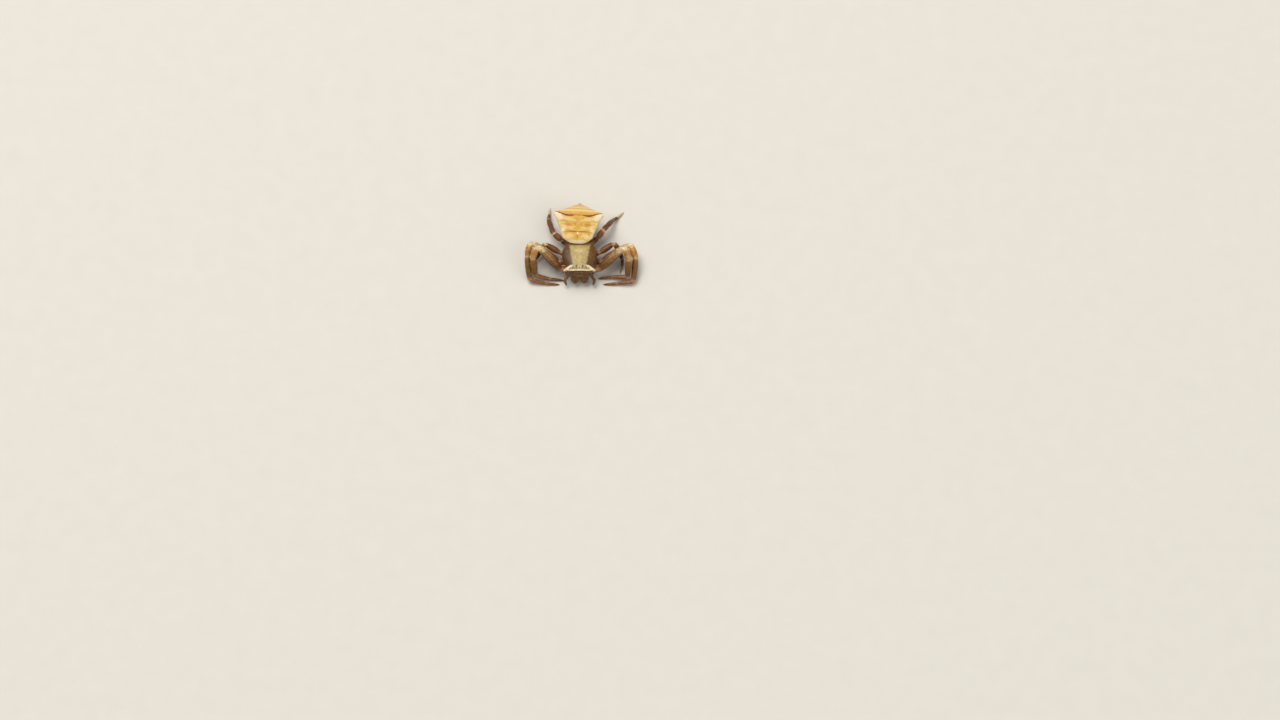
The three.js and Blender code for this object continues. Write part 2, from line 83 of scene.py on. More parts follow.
ABDOMEN = {
    "front": -0.12, "rear": 2.7, "pivot": (0.03, 0.35), "yaw": math.radians(-3), "shift": -0.09,
    "powers": (3, 1.9), "bulges": (0.05, 0.07), "soft_front": 0.14, "soft_rounds": 28,
    "lie": (0, 0.9, -0.3),
    "half_width": [(-0.12, 0.5), (-0.02, 0.72), (0.2, 0.92), (0.6, 1.07), (1.1, 1.28), (1.5, 1.47),
                   (1.66, 1.58), (1.78, 1.5), (1.95, 1.18), (2.2, 0.82), (2.45, 0.5), (2.62, 0.26),
                   (2.7, 0.12)],
    "belly_width": [(-0.12, 0.48), (0.2, 0.82), (0.8, 1.05), (1.5, 1.18), (1.9, 1.02), (2.3, 0.66),
                    (2.7, 0.11)],
    "top": [(-0.12, 1.55), (0, 1.66), (0.3, 1.75), (1, 1.9), (1.6, 2.05), (1.85, 1.98), (2.1, 1.72),
            (2.35, 1.4), (2.57, 1.12), (2.7, 1)],
    "bottom": [(-0.12, 1.38), (0, 1.31), (0.1, 1.25), (0.28, 1.16), (0.42, 0.84), (0.7, 0.62),
               (1.2, 0.5), (1.9, 0.52), (2.3, 0.62), (2.55, 0.76), (2.7, 0.9)],
    "shoulder": [(-0.12, 0.07), (0.1, 0.13), (0.6, 0.2), (1.66, 0.2), (2.1, 0.24), (2.7, 0.04)],
}
SPINNERET = {"y": 2.46, "z": 0.72, "count": 6, "ring": 0.1, "radius": 0.065, "length": 0.28,
             "fall": 0.8, "lean": 0.35, "mound": 0.16, "voxel": 0.012}
PEDICEL = {"from": 0.12, "to": 0.72, "z": 0.97, "radius": 0.1}

# The legs: where each begins under the body, lengths and half thicknesses of its segments, then for
# each side the hip and the turn and rise of every segment in degrees. The last one ends at the floor.
SEGMENTS = ["coxa", "femur", "patella", "tibia", "metatarsus", "tarsus"]
TIP_HEIGHT = 0.3
LEGS = {
    "leg1": {
        "root": (0.28, -1.32, 0.62),
        "length": (2.25, 0.85, 1.35, 0.95, 0.85),
        "girth": (0.22, 0.28, 0.215, 0.21, 0.13, 0.1),
        "right": ((-1.12, -1.62, 0.74), ((40, 29), (-74, -18), (-99, -55), (-173, -19), (-176, None))),
        "left": ((1.22, -1.62, 0.74), ((37, 22), (-74, -10), (-97, -55), (177, -8), (-176, None))),
    },
    "leg2": {
        "root": (0.28, -0.95, 0.6),
        "length": (2.2, 0.95, 1.5, 1.05, 0.8),
        "girth": (0.22, 0.255, 0.205, 0.2, 0.125, 0.095),
        "right": ((-1.28, -1.05, 0.57), ((33, 18), (-78, -12), (-96, -29), (-170, -12), (-177, None))),
        "left": ((1.36, -1.05, 0.56), ((30, 10), (-71, -5), (-96, -23), (-176, -8), (-178, None))),
    },
    "leg3": {
        "root": (0.28, -0.55, 0.6),
        "length": (1.1, 0.6, 0.6, 0.45, 0.4),
        "girth": (0.19, 0.2, 0.165, 0.145, 0.1, 0.07),
        "right": ((-1.2, -0.42, 0.6), ((29, 10), (-53, -39), (-56, -10), (-56, -18), (-66, None))),
        "left": ((1.28, -0.42, 0.6), ((32, 10), (-48, -38), (-71, -10), (-92, -18), (-109, None))),
    },
    "leg4": {
        "root": (0.26, -0.18, 0.6),
        "length": (0.73, 0.45, 0.9, 0.52, 0.49),
        "girth": (0.19, 0.2, 0.17, 0.165, 0.115, 0.07),
        "right": ((-1.1, 0.42, 0.64), ((30, 36), (72, -18), (75, -31), (96, -32), (96, None))),
        "left": ((1.17, 0.58, 0.64), ((42, 47), (57, -28), (61, -40), (44, -33), (45, None))),
    },
}
# How each segment swells: share of its length, then share of its half thickness.
SWELL = {
    "coxa": [(0, 0.8), (0.3, 1), (0.62, 0.98), (0.72, 0.82), (0.84, 0.92), (1, 0.72)],
    "femur": [(0, 0.55), (0.06, 0.7), (0.42, 1), (0.75, 0.86), (0.93, 0.68), (1, 0.6)],
    "patella": [(0, 0.74), (0.12, 0.9), (0.5, 1), (0.85, 0.9), (1, 0.72)],
    "tibia": [(0, 0.72), (0.1, 0.9), (0.4, 1), (0.85, 0.82), (1, 0.62)],
    "metatarsus": [(0, 0.86), (0.12, 1), (0.6, 0.92), (1, 0.72)],
    "tarsus": [(0, 0.86), (0.12, 1), (0.6, 0.85), (0.9, 0.6), (1, 0.35)],
}
LEG_ORDER = [(name, side) for name in LEGS for side in SIDE_SIGN]
# The soft fold at a joint and the lips beside it, as shares of the half thickness.
JOINT_FOLD = {"depth": 0.13, "width": 0.022}
JOINT_LIP = {"height": 0.05, "away": 0.055, "width": 0.025}

# How fine the meshes are.
BODY_SIDES = 120
HEAD_RINGS = 70
ABDOMEN_RINGS = 130
LEG_SIDES = 28
LEG_STEP = 0.026  # distance between rings along a leg
CAP_RINGS = 5  # rings in the dome that closes an end
HEAD_VOXEL = 0.017
BELLY_TURN = 6  # how sharply the side turns into the belly

# Relief of the abdomen: where its tail begins, and each kind of fold's height and distance apart.
TAIL = (1.85, 2.15)
TAIL_FOLDS = (0.01, 0.13)
FLANK_FOLDS = (0.01, 0.15)
EDGE_FOLDS = (0.006, 0.1)
SWELLINGS = {"across": 0.42, "width": 0.24, "height": 0.045, "length": 1.6}
MIDDLE_GROOVE = {"width": 0.12, "depth": 0.012}
REAR_GROOVE = {"across": 0.7, "reach": 0.6, "along": 1.63, "width": 0.06, "depth": 0.02}
# Muscle pits on its back: distance from its middle, place along it, size and depth.
PITS = [(0.0, 0.62, 0.06, 0.018), (0.34, 0.78, 0.055, 0.024), (0.42, 1.2, 0.06, 0.026),
        (0.6, 1.42, 0.05, 0.014)]

# Relief of the head. The eye rims are in radii of their eye.
EYE_RIM = {"at": 1.45, "width": 0.45, "height": 0.35}
NECK_GROOVE = 0.012
HEAD_PIT = {"along": -0.42, "size": 0.12, "depth": 0.025}
HEAD_RAYS = {"count": 9, "away": 0.7, "reach": 0.3, "depth": 0.007}
FACE = {"narrowing": 0.2, "chin_back": 0.13}
HEAD_LIE = (0.0, -0.8, 0.3)

# Where the pieces of the head lie on their common unwrap: which strip, of how many as wide.
HEAD_PATCHES = {"head": (0, 1.7), "chelicera_right": (6, 10), "chelicera_left": (7, 10),
                "palp_right": (8, 10), "palp_left": (9, 10)}

# Spines of the legs: segment place, turn from the upper side towards the front in degrees, length.
# The two front pairs of legs have two rows of them underneath.
SPINE_PLACES = [3.2, 3.36, 3.52, 3.68, 3.84, 4.14, 4.34, 4.54, 4.74, 4.92]
FRONT_SPINES = [(place, angle, 0.2 if place > 4 else 0.17) for place in SPINE_PLACES for angle in (148, 212)]
FRONT_SPINES += [(1.34, 70, 0.1), (1.44, 48, 0.11), (1.54, 72, 0.11), (1.64, 50, 0.09)]
BACK_SPINES = [(2.5, 0, 0.11), (3.3, 10, 0.12), (3.62, -10, 0.12)]
SPINE = {"sunk": 0.01, "stand": 0.75, "over_floor": 0.02}
CLAW = {"length": 0.075, "drop": 0.045, "apart": 0.012, "radius": 0.0085, "tip_radius": 0.0012,
        "over_floor": 0.006}


# Curves, meshes and skins.
def track(stops):
    """A smooth curve through stops of (place, value), with no overshoot between them."""
    places = np.array([stop[0] for stop in stops], float)
    values = np.array([stop[1] for stop in stops], float)
    steps = np.diff(values) / np.diff(places)
    slopes = np.zeros(len(stops))
    for i in range(1, len(stops) - 1):
        if steps[i - 1] * steps[i] > 0:
            slopes[i] = 2 * steps[i - 1] * steps[i] / (steps[i - 1] + steps[i])

    def curve(place):
        at = np.clip(place, places[0], places[-1])
        i = np.clip(np.searchsorted(places, at) - 1, 0, len(stops) - 2)
        span = places[i + 1] - places[i]
        t = (at - places[i]) / span
        rise = t * t * (3 - 2 * t)
        lift = span * t * (1 - t) * (slopes[i] * (1 - t) - slopes[i + 1] * t)
        return values[i] * (1 - rise) + values[i + 1] * rise + lift

    return curve


def bump(distance, width):
    """A smooth hill of height 1."""
    return np.exp(-(distance / width) ** 2)


def between(value, start, end):
    """How far a value has come from start to end, from 0 to 1."""
    return np.clip((value - start) / (end - start), 0, 1)


def waves(distance, folds):
    """Even folds of a height and a distance apart."""
    height, apart = folds
    return height * np.sin(2 * np.pi * distance / apart)


def rounded(rings, bulges):
    """The rings with CAP_RINGS more at each end, which close it in a dome as high as its bulge."""
    turn = np.linspace(0, np.pi / 2, CAP_RINGS + 2)[1:-1]
    caps = []
    for end, inner, bulge in ((rings[0], rings[1], bulges[0]), (rings[-1], rings[-2], bulges[1])):
        centre = end.mean(0)
        ahead = centre - inner.mean(0)
        ahead /= np.linalg.norm(ahead)
        caps.append([centre + (end - centre) * np.cos(t) + ahead * bulge * np.sin(t) for t in turn])
    return np.concatenate([caps[0][::-1], rings, caps[1]])


def loft(name, rings, bulges=None, **attributes):
    """A closed mesh through rings of points. Each attribute holds one number or vector for every point."""
    more = 0
    if bulges:
        rings = rounded(rings, bulges)
        more = CAP_RINGS
    count, sides, _ = rings.shape
    ends = [rings[0].mean(0), rings[-1].mean(0)]
    points = np.vstack([rings.reshape(-1, 3), ends])
    ring, side = np.meshgrid(np.arange(count - 1), np.arange(sides), indexing="ij")
    following = (side + 1) % sides
    corners = [ring * sides + side, ring * sides + following,
               (ring + 1) * sides + following, (ring + 1) * sides + side]
    faces = np.stack(corners, -1).reshape(-1, 4).tolist()
    last = (count - 1) * sides
    for i in range(sides):
        after = (i + 1) % sides
        faces.append([count * sides, after, i])
        faces.append([count * sides + 1, last + i, last + after])
    mesh = bpy.data.meshes.new(name)
    mesh.from_pydata(points.tolist(), [], faces)
    for key, values in attributes.items():
        values = np.asarray(values, float)
        values = np.concatenate([values[:1]] * more + [values] + [values[-1:]] * more)
        values = values.reshape(count * sides, -1)
        values = np.vstack([values, values[:sides].mean(0), values[-sides:].mean(0)])
        store(mesh, key, values)
    return outward(benched(name, mesh))


def store(mesh, key, values):
    """Keeps a number or a vector for every point of a mesh."""
    kind, field = ("FLOAT", "value") if values.shape[1] == 1 else ("FLOAT_VECTOR", "vector")
    mesh.attributes.new(key, kind, "POINT").data.foreach_set(field, values.ravel())


def read(mesh, key):
    attribute = mesh.attributes[key]
    wide = attribute.data_type == "FLOAT_VECTOR"
    values = np.zeros(len(mesh.vertices) * (3 if wide else 1))
    attribute.data.foreach_get("vector" if wide else "value", values)
    return values.reshape(-1, 3) if wide else values


def points_of(mesh):
    values = np.zeros(len(mesh.vertices) * 3)
    mesh.vertices.foreach_get("co", values)
    return values.reshape(-1, 3)


def normals_of(mesh):
    values = np.zeros(len(mesh.vertices) * 3)
    mesh.vertex_normals.foreach_get("vector", values)
    return values.reshape(-1, 3)


def move_points(mesh, values):
    mesh.vertices.foreach_set("co", values.ravel())
    mesh.update()


def benched(name, data):
    """A new object, put into the scene."""
    piece = bpy.data.objects.new(name, data)
    bpy.context.scene.collection.objects.link(piece)
    return piece


def outward(piece):
    """Turns all faces of a closed mesh outwards."""
    shell = bmesh.new()
    shell.from_mesh(piece.data)
    bmesh.ops.recalc_face_normals(shell, faces=shell.faces)
    shell.to_mesh(piece.data)
    shell.free()
    return piece


def softened(piece, chosen, rounds):
    """Rounds off the chosen part of a mesh."""
    shell = bmesh.new()
    shell.from_mesh(piece.data)
    points = [point for point, soft in zip(shell.verts, chosen) if soft]
    for _ in range(rounds):
        bmesh.ops.smooth_vert(shell, verts=points, factor=0.5, use_axis_x=True, use_axis_y=True,
                              use_axis_z=True)
    shell.to_mesh(piece.data)
    shell.free()


def applied(piece):
    """The piece with its modifiers made part of a plain mesh."""
    graph = bpy.context.evaluated_depsgraph_get()
    graph.update()
    mesh = bpy.data.meshes.new_from_object(piece.evaluated_get(graph), depsgraph=graph)
    piece.modifiers.clear()
    piece.data = mesh
    return piece


def joined(name, pieces):
    """Several meshes made one, without changing them."""
    bpy.ops.object.select_all(action="DESELECT")
    for piece in pieces:
        piece.select_set(True)
    bpy.context.view_layer.objects.active = pieces[0]
    if len(pieces) > 1:
        bpy.ops.object.join()
    pieces[0].name = name
    return pieces[0]


def fused(name, pieces, voxel, smoothing):
    """Several closed shapes made one skin."""
    first = joined(name, pieces)
    remesh = first.modifiers.new("skin", "REMESH")
    remesh.mode = "VOXEL"
    remesh.voxel_size = voxel
    smooth = first.modifiers.new("soften", "SMOOTH")
    smooth.factor = 0.5
    smooth.iterations = smoothing
    return outward(applied(first))


# The abdomen.
def body_ring(y, half_width, belly_width, top, bottom, widest, powers, lean=0, lean_from=0):
    """A ring across the body: a rounded box whose upper and lower halves have their own fullness."""
    angle = 2 * np.pi * (np.arange(BODY_SIDES) + 0.5) / BODY_SIDES
    across, up = np.cos(angle), np.sin(angle)
    power = np.where(up >= 0, 2 / powers[0], 2 / powers[1])
    reach = np.sign(across) * np.abs(across) ** power
    lower_width = belly_width + (half_width - belly_width) * np.abs(across) ** BELLY_TURN
    width = np.where(up >= 0, half_width, lower_width)
    height = np.abs(up) ** power
    z = np.where(up >= 0, widest + (top - widest) * height, widest - (widest - bottom) * height)
    return np.stack([width * reach, y + lean * (lean_from - z), z], -1)


def abdomen_turned(points):
    """From the abdomen's own axis to its place behind the waist."""
    x, y = ABDOMEN["pivot"]
    cos, sin = math.cos(ABDOMEN["yaw"]), math.sin(ABDOMEN["yaw"])
    across = points[..., 0] + ABDOMEN["shift"] - x
    along = points[..., 1] - y
    return np.stack([x + across * cos - along * sin, y + across * sin + along * cos, points[..., 2]], -1)


def abdomen_rings():
    """The abdomen's plain form, ring by ring along its own axis, closer together towards its ends."""
    curves = {key: track(ABDOMEN[key]) for key in ("half_width", "belly_width", "top", "bottom", "shoulder")}
    even = np.linspace(0, 1, ABDOMEN_RINGS)
    eased = (1 - np.cos(np.pi * even)) / 2
    ys = ABDOMEN["front"] + (ABDOMEN["rear"] - ABDOMEN["front"]) * (0.35 * eased + 0.65 * even)
    rings = []
    for y in ys:
        half_width, belly_width, top, bottom, shoulder = (curve(y) for curve in curves.values())
        rings.append(body_ring(y, half_width, belly_width, top, bottom, top - shoulder, ABDOMEN["powers"]))
    return ys, np.array(rings)


def abdomen_skin():
    """The abdomen with its muscle pits, the folds of its flanks and the wrinkles of its rear end."""
    ys, rings = abdomen_rings()
    around = (np.arange(BODY_SIDES) + 0.5) / BODY_SIDES
    wall = np.broadcast_to(np.sin(2 * np.pi * around), rings.shape[:2])
    place = np.stack(np.broadcast_arrays(around[None, :], (ys[:, None] - ys[0]) / 3, 0), -1)
    lie = np.broadcast_to(np.array(ABDOMEN["lie"]), rings.shape)
    piece = loft("abdomen_skin", rings, ABDOMEN["bulges"], plan=rings, wall=wall, root_place=place, lie=lie)
    mesh = piece.data
    softened(piece, read(mesh, "plan")[:, 1] < ABDOMEN["soft_front"], ABDOMEN["soft_rounds"])
    points, normals = points_of(mesh), normals_of(mesh)
    plan, wall = read(mesh, "plan"), read(mesh, "wall")
    across, along, height = np.abs(plan[:, 0]), plan[:, 1], plan[:, 2]
    back = between(wall, 0, 1 / 3)
    tail = between(along, *TAIL)
    flank = between(-wall, 0, 0.25) * between(wall, -1.1, -0.85)
    edge = bump(wall - 0.3, 0.35) * between(along, 0.1, 0.4)
    full = np.sin(np.pi * between(along, 0, SWELLINGS["length"])) * back
    from_tip = np.hypot(across * 0.5, along - ABDOMEN["rear"])
    lift = waves(from_tip, TAIL_FOLDS) * tail * bump(across, 0.55)
    lift += waves(along + 0.12 * height, FLANK_FOLDS) * flank * (1 - tail)
    lift += waves(along + 0.25 * across, EDGE_FOLDS) * edge * (1 - tail)
    lift += SWELLINGS["height"] * bump(across - SWELLINGS["across"], SWELLINGS["width"]) * full
    lift -= MIDDLE_GROOVE["depth"] * bump(across, MIDDLE_GROOVE["width"]) * full
    rear_groove = bump(along - REAR_GROOVE["along"], REAR_GROOVE["width"])
    rear_groove *= bump(across - REAR_GROOVE["across"], REAR_GROOVE["reach"])
    lift -= REAR_GROOVE["depth"] * rear_groove * back
    for pit_across, pit_along, size, depth in PITS:
        lift -= depth * bump(np.hypot(across - pit_across, along - pit_along), size) * back
    move_points(mesh, abdomen_turned(points + normals * lift[:, None]))
    return piece


# The head, and what it carries.
def head_form():
    """The shield with its horns, and the breast plate and mouthparts under it, made one."""
    half_width, top = track(CARAPACE["half_width"]), track(CARAPACE["top"])
    front, rear = CARAPACE["front"], CARAPACE["rear"]
    rings = []
    for y in np.linspace(front, rear, HEAD_RINGS):
        share = (rear - y) / (rear - front)
        bottom = CARAPACE["rim"] - CARAPACE["face_drop"] * share ** 4
        widest = bottom + CARAPACE["widest"] * (top(y) - bottom)
        rings.append(body_ring(y, half_width(y), half_width(y), top(y), bottom, widest, CARAPACE["powers"],
                               -CARAPACE["face_lean"] * share ** 3, top(y)))
    parts = [loft("head_skin", np.array(rings) + [MIDLINE, 0, 0]), breast_plate()]
    for sign in SIDE_SIGN.values():
        parts.append(horn(sign))
        parts.append(maxilla(sign))
    return fused("head_skin", parts, HEAD_VOXEL, 7)


def head_skin(eyes):
    """The head with its eye rims and grooves, and a face that narrows and draws back downward."""
    piece = head_form()
    mesh = piece.data
    points, normals = points_of(mesh), normals_of(mesh)
    for centre, radius in eyes:
        away = np.linalg.norm(points - centre, axis=1)
        ring = bump(away - EYE_RIM["at"] * radius, EYE_RIM["width"] * radius)
        points += normals * (EYE_RIM["height"] * radius * ring)[:, None]
    across = points[:, 0] - MIDLINE
    along = points[:, 1]
    upper = np.clip(normals[:, 2] * 1.5, 0, 1)
    from_pit = along - HEAD_PIT["along"]
    neck = bump(np.abs(across) - 0.52 - 0.12 * np.cos(3 * along), 0.05) * bump(along + 0.75, 0.6)
    pit = bump(np.hypot(across * 3, from_pit), HEAD_PIT["size"])
    rays = np.sin(np.arctan2(across, from_pit) * HEAD_RAYS["count"]) ** 4
    rays *= bump(np.hypot(across, from_pit) - HEAD_RAYS["away"], HEAD_RAYS["reach"])
    depth = upper * (NECK_GROOVE * neck + HEAD_PIT["depth"] * pit + HEAD_RAYS["depth"] * rays)
    points -= normals * depth[:, None]
    height = points[:, 2]
    low_face = between(-along, 1.2, 1.7) * between(-height, -1.18, -0.78)
    points[:, 0] = MIDLINE + across * (1 - FACE["narrowing"] * low_face)
    chin = between(-height, -1.0, -0.75) ** 2 * between(-along, 1.7, 2.0)
    points[:, 1] += FACE["chin_back"] * chin
    move_points(mesh, points)
    around = np.arctan2(points[:, 0] - MIDLINE, height - 1.0) / (2 * np.pi) + 0.5
    store(mesh, "root_place", own_place(*HEAD_PATCHES["head"], around, (along + 2.3) / 3))
    store(mesh, "lie", np.tile(HEAD_LIE, (len(along), 1)))
    store(mesh, "plan", np.stack([across, along, height], -1))
    return piece


def breast_plate():
    """The plate between the legs, a little wider at its front."""
    middle = (STERNUM["rear"] + STERNUM["front"]) / 2
    half_length = (STERNUM["rear"] - STERNUM["front"]) / 2
    sides = 40
    angle = 2 * np.pi * np.arange(sides) / sides
    rings = []
    for z, share in STERNUM["levels"]:
        x = STERNUM["half_width"] * share * (1 - 0.18 * np.sin(angle)) * np.cos(angle)
        y = middle + half_length * share * np.sin(angle)
        rings.append(np.stack([MIDLINE + x, y, np.full(sides, z)], -1))
    return loft("breast_plate", np.array(rings))


def ball(name, centre, radii, turns=32):
    """A ball, or an egg where its radii differ."""
    mesh = bpy.data.meshes.new(name)
    shape = bmesh.new()
    bmesh.ops.create_uvsphere(shape, u_segments=turns, v_segments=turns * 2 // 3, radius=1)
    bmesh.ops.scale(shape, vec=radii, verts=shape.verts)
    bmesh.ops.translate(shape, vec=centre, verts=shape.verts)
    shape.to_mesh(mesh)
    shape.free()
    return benched(name, mesh)


def maxilla(sign):
    """One of the two mouthparts behind the jaws."""
    centre = (MIDLINE + sign * MAXILLA["across"], MAXILLA["y"], MAXILLA["z"])
    return ball("maxilla", centre, (MAXILLA["width"], MAXILLA["length"], MAXILLA["height"]))


def horn(sign):
    """One of the two side horns of the head, which carry the side eyes."""
    root, tip = (np.array([MIDLINE + sign * p[0], p[1], p[2]]) for p in (HORN["root"], HORN["tip"]))
    steps = np.linspace(0, 1, 12)
    radii = HORN["root_radius"] + (HORN["tip_radius"] - HORN["root_radius"]) * steps
    return loft("horn", tube_rings(root + (tip - root) * steps[:, None], radii, 24)[0])


# Tubes along a line, and the legs.
def tube_rings(line, radii, sides):
    """Rings round a line, their upper side carried along without twist."""
    tangents = np.gradient(line, axis=0)
    tangents /= np.linalg.norm(tangents, axis=1)[:, None]
    normal = np.array([0.0, 0.0, 1.0])
    angle = 2 * np.pi * np.arange(sides) / sides
    rings, uppers = [], []
    for centre, tangent, radius in zip(line, tangents, radii):
        normal = normal - tangent * normal.dot(tangent)
        normal /= np.linalg.norm(normal)
        sideways = np.cross(tangent, normal)
        ring = np.cos(angle)[:, None] * normal + np.sin(angle)[:, None] * sideways
        rings.append(centre + radius * ring)
        uppers.append(ring)
    return np.array(rings), np.array(uppers), tangents


def jointed_line(joints, bends):
    """Points along straight lengths with rounded corners, and the places halfway round the corners."""
    joints = [np.array(joint, float) for joint in joints]
    points, marks, travelled = [joints[0]], [0.0], 0.0
    for before, joint, after, bend in zip(joints, joints[1:], joints[2:], bends[1:]):
        back = (before - joint) / np.linalg.norm(before - joint)
        ahead = (after - joint) / np.linalg.norm(after - joint)
        half_turn = (math.pi - math.acos(np.clip(back.dot(ahead), -1, 1))) / 2
        reach = bend * math.tan(half_turn)
        handle = 4 / 3 * math.tan(half_turn / 2) * bend
        start, end = joint + back * reach, joint + ahead * reach
        t = np.linspace(0, 1, 33)[:, None]
        arc = ((1 - t) ** 3 * start + 3 * (1 - t) ** 2 * t * (start - back * handle)
               + 3 * (1 - t) * t ** 2 * (end - ahead * handle) + t ** 3 * end)
        arc_length = np.linalg.norm(np.diff(arc, axis=0), axis=1).sum()
        travelled += np.linalg.norm(start - points[-1]) + arc_length / 2
        marks.append(travelled)
        travelled += arc_length / 2
        points.extend(arc)
    points.append(joints[-1])
    marks.append(travelled + np.linalg.norm(joints[-1] - points[-2]))
    return np.array(points), marks


def evenly(points, step):
    """The same line with even steps, and each point's distance from the start."""
    lengths = np.concatenate([[0], np.cumsum(np.linalg.norm(np.diff(points, axis=0), axis=1))])
    places = np.linspace(0, lengths[-1], int(lengths[-1] / step) + 2)
    return np.stack([np.interp(places, lengths, points[:, i]) for i in range(3)], -1), places


def leg_joints(leg, side):
    """The joints of a leg from under the body to its tip, which ends just over the floor."""
    sign = SIDE_SIGN[side]
    hip, pose = leg[side]
    root = leg["root"]
    joints = [np.array([MIDLINE + sign * root[0], root[1], root[2]]), np.array(hip)]
    tip_height = TIP_HEIGHT * leg["girth"][-1]
    for length, (yaw, pitch) in zip(leg["length"], pose):
        start = joints[-1]
        rise = math.asin((tip_height - start[2]) / length) if pitch is None else math.radians(pitch)
        level = length * math.cos(rise)
        turn = math.radians(yaw)
        step = [sign * level * math.cos(turn), level * math.sin(turn), length * math.sin(rise)]
        joints.append(start + step)
    return joints


def leg_line(leg, side):
    """A leg's middle line, with the half thickness, segment place and distance at each point."""
    girth = leg["girth"]
    bends = [0, girth[0], girth[1] * 0.95, girth[2], girth[3], girth[4], 0]
    corners, marks = jointed_line(leg_joints(leg, side), bends)
    line, places = evenly(corners, LEG_STEP)
    segment = np.clip(np.searchsorted(marks, places, side="right") - 1, 0, len(SEGMENTS) - 1)
    starts, ends = np.array(marks)[segment], np.array(marks)[segment + 1]
    share = np.clip((places - starts) / (ends - starts), 0, 1)
    swells = [track(SWELL[name]) for name in SEGMENTS]
    radii = np.array([girth[i] * swells[i](t) for i, t in zip(segment, share)])
    kernel = np.hanning(7) / np.hanning(7).sum()
    radii = np.convolve(np.pad(radii, 3, mode="edge"), kernel, mode="valid")
    for mark in marks[1:-1]:
        near = places - mark
        lips = bump(np.abs(near) - JOINT_LIP["away"], JOINT_LIP["width"])
        radii *= 1 - JOINT_FOLD["depth"] * bump(near, JOINT_FOLD["width"]) + JOINT_LIP["height"] * lips
    return line, radii, segment + share, places


def own_place(index, count, around, along):
    """A place on the unwrap of several pieces, which lie side by side on it."""
    return np.stack(np.broadcast_arrays((index + 0.95 * around) / count, along, 0.0), -1)


def leg_skin(name, side):
    """One leg from under the body to its tip, with a fold of soft skin at every joint."""
    line, radii, reach, places = leg_line(LEGS[name], side)
    rings, _, tangents = tube_rings(line, radii, LEG_SIDES)
    rings[..., 2] = np.maximum(rings[..., 2], 0)
    around = np.arange(LEG_SIDES) / LEG_SIDES
    upper = np.broadcast_to(np.cos(2 * np.pi * around), rings.shape[:2])
    front = np.broadcast_to(SIDE_SIGN[side] * np.sin(2 * np.pi * around), rings.shape[:2])
    place = own_place(LEG_ORDER.index((name, side)), len(LEG_ORDER), around[None, :], places[:, None] / 8)
    lie = np.broadcast_to(tangents[:, None, :], rings.shape)
    run = np.broadcast_to(reach[:, None], rings.shape[:2])
    return loft(f"{name}_{side}_skin", rings, (0.02, radii[-1] * 0.8), reach=run, upper=upper, front=front,
                root_place=place, lie=lie)


def spine_roots():
    """Points on the legs where spines stand, with the way each spine leans and its length."""
    roots, aims, sizes, patches = [], [], [], []
    for index, (name, side) in enumerate(LEG_ORDER):
        line, radii, reach, places = leg_line(LEGS[name], side)
        rings, uppers, tangents = tube_rings(line, radii, 360)
        for place, angle, size in (FRONT_SPINES if name in ("leg1", "leg2") else []) + BACK_SPINES:
            ring = int(np.searchsorted(reach, place))
            turn = SIDE_SIGN[side] * angle % 360
            root = rings[ring, turn] - SPINE["sunk"] * uppers[ring, turn]
            aim = uppers[ring, turn] * SPINE["stand"] + tangents[ring]
            aim /= np.linalg.norm(aim)
            aim[2] = max(aim[2], (SPINE["over_floor"] - root[2]) / size)
            roots.append(root)
            aims.append(aim)
            sizes.append([size])
            patches.append(own_place(index, len(LEG_ORDER), turn / 360, places[ring] / 8))
    mesh = bpy.data.meshes.new("spine_roots")
    mesh.from_pydata([tuple(root) for root in roots], [], [])
    store(mesh, "aim", np.array(aims))
    store(mesh, "size", np.array(sizes))
    store(mesh, "root_place", np.array(patches))
    return benched("spine_roots", mesh)


def claws():
    """A pair of curved claws at the tip of every leg."""
    made = []
    t = np.linspace(0, 1, 9)[:, None]
    radii = CLAW["radius"] * (1 - t[:, 0]) ** 0.8 + CLAW["tip_radius"]
    for name, side in LEG_ORDER:
        line = leg_line(LEGS[name], side)[0]
        ahead = line[-1] - line[-4]
        ahead /= np.linalg.norm(ahead)
        sideways = np.cross(ahead, [0, 0, 1])
        sideways /= np.linalg.norm(sideways)
        down = np.array([0, 0, -1.0])
        for turn in (-1, 1):
            apart = sideways * turn * CLAW["apart"]
            path = line[-1] + apart + ahead * 0.005 + apart * t
            path += ahead * CLAW["length"] * np.sin(1.5 * t) + down * CLAW["drop"] * t ** 2
            path[:, 2] = np.maximum(path[:, 2], CLAW["over_floor"])
            made.append(loft("claw", tube_rings(path, radii, 8)[0]))
    return joined("claws", made)


# Jaws, fangs, palps, waist and spinnerets.
def jaw(side):
    """One jaw, an upright plump form that narrows towards its fang."""
    sides, count = 36, 30
    angle = 2 * np.pi * np.arange(sides) / sides
    upward = CHELICERA["rings"][::-1]
    curves = [track([(ring[0], ring[i]) for ring in upward]) for i in (1, 2, 3)]
    rings = []
    for z in np.linspace(upward[-1][0], upward[0][0], count):
        y, half_width, half_depth = (curve(z) for curve in curves)
        x = MIDLINE + SIDE_SIGN[side] * (CHELICERA["across"] + half_width * np.cos(angle))
        rings.append(np.stack([x, y + half_depth * np.sin(angle), np.full(sides, z)], -1))
    rings = np.array(rings)
    down = np.linspace(0, 0.3, count)[:, None]
    place = own_place(*HEAD_PATCHES[f"chelicera_{side}"], angle / (2 * np.pi), down)
    lie = np.broadcast_to(np.array(CHELICERA["lie"]), rings.shape)
    return loft(f"chelicera_{side}_skin", rings, (0.02, 0.03), root_place=place, lie=lie)


